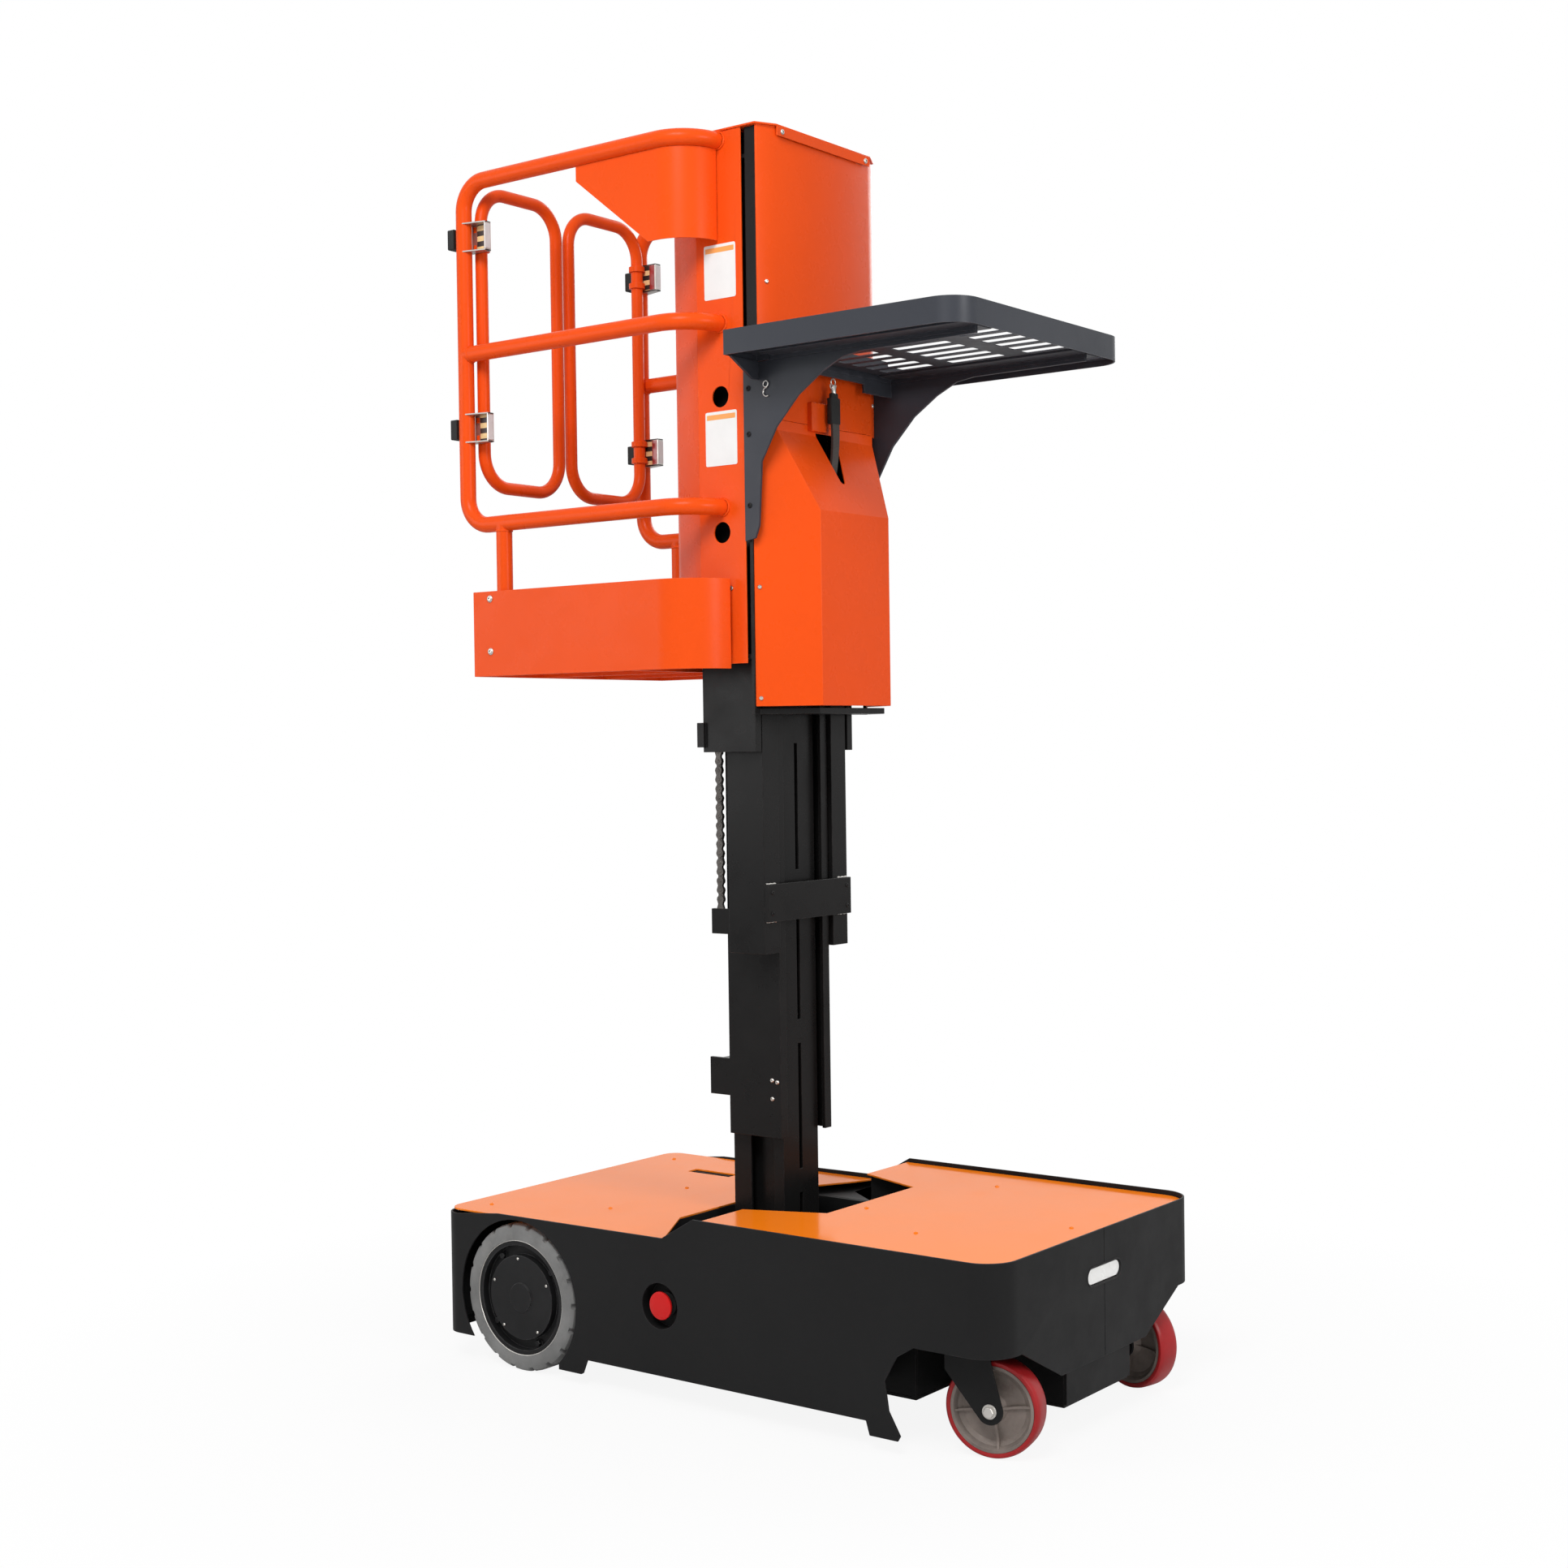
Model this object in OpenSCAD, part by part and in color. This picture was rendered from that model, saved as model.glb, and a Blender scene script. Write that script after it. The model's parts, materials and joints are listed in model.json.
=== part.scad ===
// Order picker truck: an operator platform on a four-section telescoping mast,
// with a self-propelled chassis below and a goods tray ahead of the operator.
// Millimetres. +X points to the tray end, +Y to the left, +Z up. The floor is
// z = 0 and the origin is the middle of the chassis footprint.

/* [Part] */
// Sub-part to build; "all" builds the whole truck

/* [Chassis] */
// Overall length of the chassis
base_l = 1380; // [1300:10:1500]
// Overall width of the chassis
base_w = 750; // [700:10:800]
// Sheet thickness of the skirt
skirt_t = 4; // [3:1:6]
// Top of the rear deck above the floor
rear_deck_z = 318; // [300:1:330]
// Top of the front deck above the floor
front_deck_z = 365; // [350:1:380]
// Sheet thickness of both decks
deck_t = 4; // [3:1:6]
// Lower edge of the skirt between its feet
skirt_low = 55; // [45:1:70]
// Lower edge of the skirt over the casters
nose_low = 204; // [200:1:215]
// Outside radius of the front corners
front_r = 65; // [40:5:80]
// Outside radius of the rear corners
rear_r = 40; // [20:5:50]

/* [Wheels] */
// Drive tyre diameter
drive_d = 305; // [280:5:320]
// Drive tyre width
drive_w = 74; // [60:2:80]
// Distance of the drive axle from the chassis's rear end
drive_in = 216; // [200:1:230]
// Wheel arch radius in the skirt
arch_r = 162; // [160:1:170]
// Caster wheel diameter
caster_d = 180; // [150:5:190]
// Caster wheel width
caster_w = 50; // [40:2:56]
// Distance of the caster swivels from the chassis's front end
caster_in = 122; // [115:1:130]
// Distance of the caster swivels from the chassis's side
caster_side = 103; // [98:1:110]
// Distance from the swivel axis to the caster axle
caster_trail = 45; // [30:1:50]
// Angle at which the caster trails in the rest pose
caster_turn = 13; // [0:1:20]

/* [Mast] */
// Clear gap between neighbouring mast sections
mast_gap = 5; // [5:1:6]
// Half width of the fixed section
mast_a_half = 59; // [55:1:65]
// Height of the fixed section's top
mast_a_top = 1380; // [1300:10:1390]
// Bottom of the second section in the rest pose
stage_b_z = 485; // [485:1:490]
// Bottom of the third section in the rest pose
stage_c_z = 866; // [866:1:870]
// Bottom of the carriage section in the rest pose
stage_d_z = 1274; // [1274:1:1280]
// Length of the second section
stage_b_l = 1280; // [1200:5:1285]
// Length of the third section
stage_c_l = 1265; // [1200:5:1270]

/* [Platform] */
// Lower edge of the toe boards
toe_low = 1440; // [1438:1:1450]
// Height of the toe boards
toe_h = 179; // [150:1:200]
// Top of the floor above the toe board's lower edge
floor_up = 40; // [30:1:50]
// Half width over the toe boards
basket_half = 305; // [290:1:320]
// Guard rail tube diameter
rail_d = 34; // [28:1:42]
// Gate tube diameter
gate_d = 27; // [20:1:30]
// Top of the column, under its cap
cap_z = 2506; // [2480:2:2530]
// Height of the middle rail's centre
rail_mid = 2127; // [2110:1:2140]
// Height of the bottom rail's centre
rail_low = 1762; // [1750:1:1780]
// Centre of the rear post along the truck
post_x = -670; // [-675:1:-660]
// Plane of the gates along the truck
gate_x = -652; // [-655:1:-650]

/* [Tray] */
// Underside of the tray in the rest pose
tray_z = 2040; // [2035:1:2050]
// Height of the tray's rim
tray_h = 48; // [40:1:60]
// Front edge of the tray
tray_front = 591; // [560:1:620]
// Half width of the tray
tray_half = 306; // [290:1:320]

/* [Colours] */
// Painted orange of the platform
paint = "#e8501c";
// Lighter orange of the decks
deck_paint = "#f0802c";
// Satin black of the chassis and mast
black = "#1e1e20";

/* [Hidden] */
half_l = base_l/2;
half_w = base_w/2;
in_w = half_w - skirt_t;
fine = 48;
plate = 6;
// Running gap of a slide pad, a shaft or a piece hung on its seat
seat = 0.25;
frame_low = 60;
frame_half = in_w - 136;
frame_rear = -half_l + 30;
nose_half = in_w - 251;
wide_end = half_l - 270;
nose_end = half_l - 20;
drive_x = -half_l + drive_in;
caster_x = half_l - caster_in;
caster_y = half_w - caster_side;
well_floor_z = 300;
well_rear = -200;
step_x = -5;
mast_back = -149;
mast_front = -19;
column_half = 200;
column_front = 15;
column_back = -199;
rail_top = cap_z - rail_d/2 - seat;
toe_r = 115;
toe_bend_x = -130;
toe_t = 3;
bonnet_low = 1364;
bonnet_top = 1930;
bonnet_back = 28;
bonnet_front = 140;
bonnet_half = 190;
bonnet_front_half = 118;
cover_back = 48;
cover_front = 70;
well_half = bonnet_half + 25;
well_front = bonnet_front + 17;
well_front_half = bonnet_front_half + 34;
well_end = bonnet_front + 32;
stub_x = -565;
rail_y = basket_half - toe_t - rail_d/2;
rail_r = rail_y - column_half;
rail_bend_x = -130;
hinge_y = 252;
gate_free_y = 20;
gate_top = 2450;
gate_low = 1830;
gate_r = 70;
// How far the right caster's tyre reaches past the chassis's front end
overhang = (caster_trail + caster_d/2)*cos(caster_turn) + caster_w/2*sin(caster_turn) - caster_in;
// Rear face of the hinge stops, as far past the chassis's rear end as that tyre is past its front
stop_x = post_x - 20 - overhang;

// Points on an arc, from angle a to angle b in n steps
function arc(cx, cy, r, a, b, n) =
    [for (i = [0:n]) [cx + r*cos(a + (b - a)*i/n), cy + r*sin(a + (b - a)*i/n)]];

// Mirrors the children to the left side when side is +1, else keeps them right
module to_side(side) {
    if (side > 0) mirror([0, 1, 0]) children();
    else children();
}

// Box given by its two opposite corners
module box(a, b) {
    translate(a) cube([b[0] - a[0], b[1] - a[1], b[2] - a[2]]);
}

// Sheet in the XZ plane: polygon points are x and z, from y0 to y1
module xz_plate(pts, y0, y1) {
    translate([0, y1, 0]) rotate([90, 0, 0]) linear_extrude(y1 - y0) polygon(pts);
}

// Sheet in the YZ plane: polygon points are y and z, from x0 to x1
module yz_plate(pts, x0, x1) {
    translate([x0, 0, 0]) rotate([90, 0, 90]) linear_extrude(x1 - x0) polygon(pts);
}

// Round bar along X, Y or Z
module bar_x(x0, x1, y, z, d) {
    translate([x0, y, z]) rotate([0, 90, 0]) cylinder(h = x1 - x0, d = d, $fn = 24);
}
module bar_y(y0, y1, x, z, d) {
    translate([x, y0, z]) rotate([-90, 0, 0]) cylinder(h = y1 - y0, d = d, $fn = 24);
}
module bar_z(z0, z1, x, y, d) {
    translate([x, y, z0]) cylinder(h = z1 - z0, d = d, $fn = 24);
}

// Quarter bend of a round bar in the plane of its own X and Y axes
module bend(r, d) {
    rotate_extrude(angle = 90, $fn = 48) translate([r, 0]) circle(d = d, $fn = 24);
}

// Floor pan with the nose that runs forward between the casters
module chassis_pan() {
    color(black) {
        box([frame_rear, -frame_half, frame_low], [wide_end, frame_half, frame_low + plate]);
        box([wide_end, -nose_half, frame_low], [nose_end, nose_half, frame_low + plate]);
    }
}

// Long walls that carry the decks, and the narrower pair of the nose
module frame_rails() {
    z0 = frame_low + plate;
    color(black) for (s = [-1, 1]) to_side(s) {
        box([frame_rear, -frame_half, z0], [well_rear - plate, -frame_half + plate, rear_deck_z - deck_t]);
        box([well_rear - plate, -frame_half, z0], [step_x, -frame_half + plate, well_floor_z]);
        box([step_x, -frame_half, z0], [wide_end, -frame_half + plate, front_deck_z - deck_t]);
        box([wide_end, -nose_half, z0], [nose_end, -nose_half + plate, front_deck_z - deck_t]);
    }
}

// Cross walls: behind and ahead of the mast well, at the nose's root and at its front
module cross_walls() {
    z0 = frame_low + plate;
    in = frame_half - plate;
    color(black) {
        box([well_rear - plate, -in, z0], [well_rear, in, rear_deck_z - deck_t]);
        box([well_end, -in, z0], [well_end + plate, in, front_deck_z - deck_t]);
        box([wide_end - plate, -in, z0], [wide_end, in, front_deck_z - deck_t]);
        box([nose_end, -nose_half, z0], [nose_end + plate, nose_half, 240]);
    }
}

// Webs that run out from the long walls to the skirt, and the sills beside the mast
module outriggers() {
    color(black) for (s = [-1, 1]) to_side(s) {
        for (x = [-half_l + rear_r, drive_x + 174, wide_end - 80])
            box([x, -in_w, 90], [x + plate, -frame_half, well_floor_z - 10]);
        box([well_rear, -in_w, well_floor_z - plate], [step_x, -frame_half, well_floor_z]);
        box([step_x, -in_w, well_floor_z], [step_x + plate, -frame_half, front_deck_z - deck_t]);
    }
}

// Plates over the casters, from the nose out to the skirt
module caster_plates() {
    color(black) for (s = [-1, 1]) to_side(s)
        translate([0, 0, 214]) linear_extrude(plate) polygon([[caster_x - 80, -in_w],
            [half_l - front_r, -in_w], [caster_x + 80, -in_w + 14], [caster_x + 80, -nose_half],
            [caster_x - 80, -nose_half]]);
}

// Right half of the skirt: side sheet, corner, half of each end, wheel arch and feet
module skirt_half(seam) {
    color(black) difference() {
        union() {
            xz_plate([[-half_l + rear_r, rear_deck_z - 9], [drive_x - 55, rear_deck_z + 4],
                [-82, rear_deck_z + 9], [step_x + 3, front_deck_z + 8],
                [half_l - front_r, front_deck_z + 9], [half_l - front_r, nose_low],
                [caster_x - 59, nose_low], [caster_x - 95, 182], [caster_x - 122, 135],
                [caster_x - 114, 81], [caster_x - 89, 39], [caster_x - 95, 29],
                [wide_end - 9, 29], [wide_end - 17, skirt_low], [drive_x + 192, skirt_low],
                [drive_x + 180, 27], [drive_x + 174, 24], [drive_x + 113, 24],
                [drive_x + 113, skirt_low], [-half_l + rear_r, skirt_low]], -half_w, -in_w);
            translate([half_l - front_r, -half_w + front_r, nose_low])
                rotate([0, 0, -90]) rotate_extrude(angle = 90, $fn = fine)
                    translate([front_r - skirt_t, 0]) square([skirt_t, front_deck_z + 9 - nose_low]);
            translate([-half_l + rear_r, -half_w + rear_r, skirt_low])
                rotate([0, 0, 180]) rotate_extrude(angle = 90, $fn = fine)
                    translate([rear_r - skirt_t, 0]) square([skirt_t, rear_deck_z - 9 - skirt_low]);
            yz_plate([[-half_w + front_r, front_deck_z + 9], [-half_w + front_r, nose_low],
                [-half_w + 78, nose_low], [-half_w + 215, 133], [-seam, 133], [-seam, front_deck_z + 9]],
                half_l - skirt_t, half_l);
            box([-half_l, -half_w + rear_r, skirt_low], [-half_l + skirt_t, -seam, rear_deck_z - 15]);
            translate([-88, -in_w + 30, 193]) rotate([90, 0, 0])
                cylinder(h = 30, d = 98, $fn = fine);
        }
        translate([drive_x, -in_w + 1, drive_d/2]) rotate([90, 0, 0])
            cylinder(h = skirt_t + 2, r = arch_r, $fn = fine);
        translate([-88, -in_w + 24, 193]) rotate([90, 0, 0])
            cylinder(h = 40, d = 90, $fn = fine);
        lamp_shape(half_l - skirt_t - 1, half_l + 1, 0);
    }
}

// Rounded slot outline of the front lamp, extruded from x0 to x1
module lamp_shape(x0, x1, inset) {
    h = 31 - 2*inset;
    w = 122 - 2*inset;
    box([x0, -(w - h)/2, 290 - h/2], [x1, (w - h)/2, 290 + h/2]);
    for (s = [-1, 1])
        translate([x0, s*(w - h)/2, 290]) rotate([0, 90, 0]) cylinder(h = x1 - x0, d = h, $fn = 32);
}

module skirt_right() skirt_half(0.5);
module skirt_left() mirror([0, 1, 0]) skirt_half(0.5);

// Rear deck sheet, cut back around the mast and pierced by a finger slot
module rear_deck() {
    e = in_w - 2;
    color(deck_paint) difference() {
        translate([0, 0, rear_deck_z - deck_t]) linear_extrude(deck_t) polygon(concat(
            arc(-half_l + rear_r + 2, -e + 34, 34, 180, 270, 6),
            [[-95, -e], [-117, -e + 50], [well_rear, -178], [well_rear, 178], [-117, e - 50], [-95, e]],
            arc(-half_l + rear_r + 2, e - 34, 34, 90, 180, 6)));
        translate([drive_x - 26, 205, rear_deck_z - deck_t - 1]) cube([120, 34, deck_t + 2]);
    }
    color(deck_paint) box([-half_l + skirt_t + 2, -e + 69, rear_deck_z - 15],
        [-half_l + skirt_t + 5, e - 69, rear_deck_z - deck_t]);
}

// Front deck sheet with the notch that the bonnet drops into
module front_deck() {
    e = in_w - 2;
    color(deck_paint) translate([0, 0, front_deck_z - deck_t]) linear_extrude(deck_t)
        polygon(concat([[step_x, -well_half], [step_x, -e]],
            arc(half_l - front_r, -half_w + front_r, front_r - skirt_t - 2, 270, 360, 8),
            arc(half_l - front_r, half_w - front_r, front_r - skirt_t - 2, 0, 90, 8),
            [[step_x, e], [step_x, well_half], [well_front, well_front_half],
            [well_front, -well_front_half]]));
}

// Traction batteries in one case, a plain block
module battery_pack() {
    color(black) box([well_end + plate + 22, -frame_half + 35, frame_low + plate],
        [wide_end - 10, frame_half - 35, well_floor_z]);
}

// Two drive motors lying across the frame, with their gearboxes outside its walls
module drive_motors() {
    color(black) for (s = [-1, 1]) to_side(s) {
        bar_y(-frame_half + plate, -60, drive_x, drive_d/2, 130);
        bar_y(-in_w + 85, -frame_half, drive_x, drive_d/2, 120);
        bar_y(-half_w + 13, -in_w + 85, drive_x, drive_d/2, 32 - 2*seat);
        box([drive_x - 60, -160, frame_low + plate], [drive_x + 60, -120, drive_d/2]);
    }
}

// Emergency stop button in its recess on the right side
module emergency_stop() {
    color("#c8202a") {
        bar_y(-in_w + 2, -in_w + 24, -88, 193, 30);
        bar_y(-half_w + 2, -in_w + 2, -88, 193, 56);
    }
}

// White lamp behind the slot in the front of the skirt
module front_lamp() {
    color("#f4f4f0") lamp_shape(half_l - skirt_t - 8, half_l - 2, 1);
}

// Fixed mast section: front wall with slots, two webs, rear wall and flanges
module mast_base() {
    h = mast_a_top - frame_low - plate;
    color(black) {
        difference() {
            translate([0, 0, frame_low + plate]) linear_extrude(h) {
                translate([mast_front - 6, -mast_a_half]) square([6, 2*mast_a_half]);
                translate([mast_back, -mast_a_half]) square([6, 2*mast_a_half]);
                for (s = [-1, 1]) {
                    translate([mast_back, s*33 - 3]) square([mast_front - mast_back, 6]);
                    translate([mast_back, s*(mast_a_half - 3) - 3]) square([45, 6]);
                    translate([mast_front - 26, s*(mast_a_half - 3) - 3]) square([26, 6]);
                }
            }
            for (k = [0:3])
                box([mast_front - 8, -5, 100 + 310*k], [mast_front + 1, 5, 360 + 310*k]);
        }
        box([mast_back - 20, -110, frame_low + plate], [mast_front + 30, 110, frame_low + 2*plate]);
        for (s = [-1, 1]) to_side(s)
            box([-125, -80 + seat, mast_a_top - 70], [-108, -mast_a_half, mast_a_top - 20]);
    }
}

// Drive wheel centred on the origin with its axle along Y and its outside at -Y
module drive_tyre() {
    difference() {
        rotate([90, 0, 0]) cylinder(h = drive_w, d = drive_d, center = true, $fn = 64);
        rotate([90, 0, 0]) cylinder(h = drive_w + 2, r = 119, center = true, $fn = 64);
    }
}

// Dished rim, hub disc and wheel bolts
module drive_hub() {
    difference() {
        rotate([90, 0, 0]) cylinder(h = drive_w - 4, r = 119, center = true, $fn = 64);
        translate([0, -drive_w/2 + 20, 0]) rotate([90, 0, 0]) cylinder(h = 40, r = 108, $fn = 64);
        translate([0, 60, 0]) rotate([90, 0, 0]) cylinder(h = 70, r = 108, $fn = 64);
        rotate([90, 0, 0]) cylinder(h = drive_w + 2, d = 32, center = true, $fn = 32);
    }
    difference() {
        translate([0, -drive_w/2 + 20, 0]) rotate([90, 0, 0]) cylinder(h = 16, r = 87, $fn = 64);
        rotate([90, 0, 0]) cylinder(h = drive_w/2 - 7 + seat, d = 32, $fn = 32);
    }
    translate([0, -drive_w/2 + 4, 0]) rotate([90, 0, 0]) cylinder(h = 3, r = 30, $fn = 32);
}

module at_drive(side) to_side(side) translate([drive_x, -half_w + 6 + drive_w/2, drive_d/2]) children();

module drive_tyre_right() color("#77787a") at_drive(-1) drive_tyre();
module drive_tyre_left() color("#77787a") at_drive(1) drive_tyre();
module drive_hub_right() color("#2a2b2d") at_drive(-1) drive_hub();
module drive_hub_left() color("#2a2b2d") at_drive(1) drive_hub();

// Frame of one caster: origin on its swivel axis at the floor, +X towards the axle
module at_caster(side) translate([caster_x, side*caster_y, 0]) rotate([0, 0, -side*caster_turn]) children();

// Fork: top plate, swivel race and two legs with round ends that hold the axle bolt
module caster_fork() {
    r = caster_d/2;
    bar_z(202, 214, 0, 0, 84);
    bar_z(195, 202, 0, 0, 64);
    box([-40, -37, 189], [46, 37, 195]);
    for (s = [-1, 1]) to_side(s) {
        xz_plate([[-40, 189], [46, 189], [46, 160], [caster_trail + 22, 96], [caster_trail + 22, r - 2],
            [caster_trail - 20, r - 8], [-40, 165]], -37, -32);
        bar_y(-37, -32, caster_trail, r, 44);
        bar_y(-42, -37, caster_trail, r, 19);
    }
    bar_y(-32, 32, caster_trail, r, 12);
}

module caster_tyre() {
    translate([caster_trail, 0, caster_d/2]) difference() {
        rotate([90, 0, 0]) cylinder(h = caster_w, d = caster_d, center = true, $fn = 48);
        rotate([90, 0, 0]) cylinder(h = caster_w + 2, d = caster_d - 22, center = true, $fn = 48);
    }
}

// Cast core: rim, web, ribs and hub
module caster_core() {
    translate([caster_trail, 0, caster_d/2]) difference() {
        union() {
            difference() {
                rotate([90, 0, 0]) cylinder(h = caster_w - 2, d = caster_d - 22, center = true, $fn = 48);
                for (s = [-1, 1]) translate([0, s*(caster_w/2 + 14), 0]) rotate([90, 0, 0])
                    cylinder(h = caster_w, d = caster_d - 40, center = true, $fn = 48);
            }
            rotate([90, 0, 0]) cylinder(h = 60, d = 36, center = true, $fn = 32);
            for (k = [0:2]) rotate([0, 60*k, 0])
                cube([caster_d - 30, caster_w - 16, 5], center = true);
        }
        rotate([90, 0, 0]) cylinder(h = 70, d = 13, center = true, $fn = 24);
    }
}

module caster_fork_right() color(black) at_caster(-1) caster_fork();
module caster_fork_left() color(black) at_caster(1) caster_fork();
module caster_tyre_right() color("#b3262b") at_caster(-1) caster_tyre();
module caster_tyre_left() color("#b3262b") at_caster(1) caster_tyre();
module caster_core_right() color("#8a8580") at_caster(-1) caster_core();
module caster_core_left() color("#8a8580") at_caster(1) caster_core();

// Second section: two channels tied together by brackets behind the fixed section
module stage_b() {
    z0 = stage_b_z;
    color(black) {
        for (s = [-1, 1]) to_side(s) {
            box([-137, -86, z0], [-3, -80, z0 + stage_b_l]);
            box([-11, -86, z0], [-3, -64, z0 + stage_b_l]);
            box([-137, -86, z0], [-129, -64, z0 + stage_b_l]);
            for (z = [z0 + 78, z0 + stage_b_l - 77])
                box([-160, -86, z], [-137, -64, z + 77]);
            for (z = [z0 + 78, z0 + stage_b_l - 77])
                box([-188, -86, z], [-160, -78, z + 77]);
        }
        for (z = [z0 + 78, z0 + stage_b_l - 77])
            box([-160, -86, z], [-154, 86, z + 77]);
        for (s = [-1, 1]) to_side(s) {
            box([-125, -80, z0 + 10], [-108, -mast_a_half - seat, z0 + 60]);
            box([-60, -91 + seat, z0 + stage_b_l - 65], [-30, -86, z0 + stage_b_l - 15]);
        }
    }
}

// Third section: two channels joined by bars across their front, with chain anchors
module stage_c() {
    z0 = stage_c_z;
    color(black) {
        for (s = [-1, 1]) to_side(s) {
            box([-3, -142, z0], [5, -91, z0 + stage_c_l]);
            box([-87, -142, z0], [-3, -136, z0 + stage_c_l]);
            box([-87, -97, z0], [-3, -91, z0 + stage_c_l]);
            box([-165, -103, z0 + 33], [-87, -91, z0 + 85]);
        }
        for (z = [z0 + 45, z0 + stage_c_l - 99])
            box([5, -142, z], [15, 142, z + 99]);
        for (s = [-1, 1]) to_side(s) {
            box([-60, -91, z0 + 100], [-30, -86 - seat, z0 + 150]);
            box([-70, -157 + seat, z0 + stage_c_l - 71], [-40, -142, z0 + stage_c_l - 21]);
        }
    }
}

// Two leaf chains, each a strip whose edges follow the links
module lift_chain() {
    pitch = 19;
    n = 42;
    z0 = stage_c_z + 85;
    front = [for (k = [0:n - 1]) for (q = [[0, -10], [0.2, -12], [0.8, -12], [1, -10]])
        [-143 - q[1], z0 + pitch*(k + q[0])]];
    back = [for (k = [n - 1:-1:0]) for (q = [[1, 10], [0.8, 12], [0.2, 12], [0, 10]])
        [-143 - q[1], z0 + pitch*(k + q[0])]];
    color("#4a4642") for (s = [-1, 1]) to_side(s) xz_plate(concat(front, back), -101, -93);
}

// Carriage section: outer channels, side strips, ties to the column and top cap
module carriage() {
    z0 = stage_d_z;
    color(black) {
        for (s = [-1, 1]) to_side(s) {
            box([-129, -165, z0], [7, -157, cap_z]);
            box([-3, -165, z0], [7, -147, cap_z]);
            box([-129, -165, z0], [-119, -147, cap_z]);
            box([-140, -172, z0 + 10], [-122, -165, z0 + 60]);
            box([-70, -157, z0 + 10], [-40, -142 - seat, z0 + 60]);
            box([20, -193, bonnet_low - 16], [bonnet_back, -187, bonnet_top]);
            box([20, -193, bonnet_top], [cover_back, -187, cap_z]);
            for (z = [toe_low + 20, 1950, cap_z - 60])
                box([-95, -196, z], [10, -165, z + 8]);
            for (z = [toe_low + 20, 1950, cap_z - 60])
                box([7, -193, z], [22, -150, z + 8]);
        }
        translate([0, 0, bonnet_low - 16]) linear_extrude(12) {
            polygon(bonnet_plan(bonnet_back - 0.01, 12));
            translate([20, -187]) square([bonnet_back - 20, 374]);
        }
    }
}

// Cover of the mast's upper part, open to the rear, with its lid and the column's cap
module upper_cover() {
    t = 3;
    color(paint) {
        translate([0, 0, bonnet_top + seat]) linear_extrude(cap_z - bonnet_top - seat) polygon([
            [cover_back + 4, -196], [cover_front, -157], [cover_front, 157], [cover_back + 4, 196],
            [cover_back, 196], [cover_front - t, 156], [cover_front - t, -156], [cover_back, -196]]);
        translate([0, 0, cap_z]) linear_extrude(4) polygon([[-180, -168], [-100, -203], [54, -203],
            [76, -160], [76, 160], [54, 203], [-100, 203], [-180, 168], [-202, 150], [-202, -150]]);
        box([73, -158, cap_z - 18], [76, 158, cap_z]);
    }
}

// Plan of the bonnet, inset by i, with its open rear end at x0
function bonnet_plan(x0, i) = let (m = (bonnet_half - bonnet_front_half)/(bonnet_front - bonnet_back),
        w = bonnet_half - i*sqrt(1 + m*m),
        w0 = w - m*(x0 - bonnet_back),
        w1 = w - m*(bonnet_front - i - bonnet_back))
    [[x0, -w0], [bonnet_front - i, -w1], [bonnet_front - i, w1], [x0, w0]];

// Bonnet ahead of the mast: front, two angled sides and a sloped, notched roof
module bonnet() {
    t = 3;
    color(paint) difference() {
        union() {
            intersection() {
                translate([0, 0, bonnet_low]) linear_extrude(600) difference() {
                    polygon(bonnet_plan(bonnet_back, 0));
                    polygon(bonnet_plan(bonnet_back - 1, t));
                }
                xz_plate([[20, bonnet_low - 4], [bonnet_front + 1, bonnet_low - 4], [bonnet_front + 1, 1762],
                    [cover_front, bonnet_top], [20, bonnet_top]], -200, 200);
            }
            intersection() {
                translate([0, 0, bonnet_low]) linear_extrude(600) polygon(bonnet_plan(bonnet_back, 0));
                xz_plate([[bonnet_front, 1764], [cover_front, bonnet_top], [cover_front - t, bonnet_top],
                    [bonnet_front - t, 1762]], -200, 200);
            }
        }
        yz_plate([[0, 1810], [52, 1940], [-52, 1940]], 60, 150);
    }
}

// Column beside and behind the mast that carries the rails, with two lifting holes
module column() {
    t = 4;
    color(paint) difference() {
        translate([0, 0, toe_low + 10]) linear_extrude(cap_z - toe_low - 10) polygon([
            [column_front, -column_half], [-100, -column_half], [-180, -165], [column_back, -150],
            [column_back, 150], [-180, 165], [-100, column_half], [column_front, column_half],
            [column_front, column_half - t], [-99, column_half - t], [-177, 162],
            [column_back + t, 148], [column_back + t, -148], [-177, -162],
            [-99, -column_half + t], [column_front, -column_half + t]]);
        for (z = [1700, 1965]) for (s = [-1, 1]) to_side(s)
            translate([-35, -column_half - 1, z]) rotate([-90, 0, 0]) cylinder(h = t + 2, d = 42, $fn = 32);
    }
}

// Outline of the floor's right wing, inside the toe board's bend
function wing(y0) = concat([[-640, y0], [-640, -basket_half + toe_t]],
    arc(toe_bend_x, -basket_half + toe_t + toe_r - toe_t, toe_r - toe_t, 270, 342, 8),
    [[-30, -column_half], [-100, -column_half], [-180, -165], [column_back, -150], [column_back, y0]]);

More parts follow.
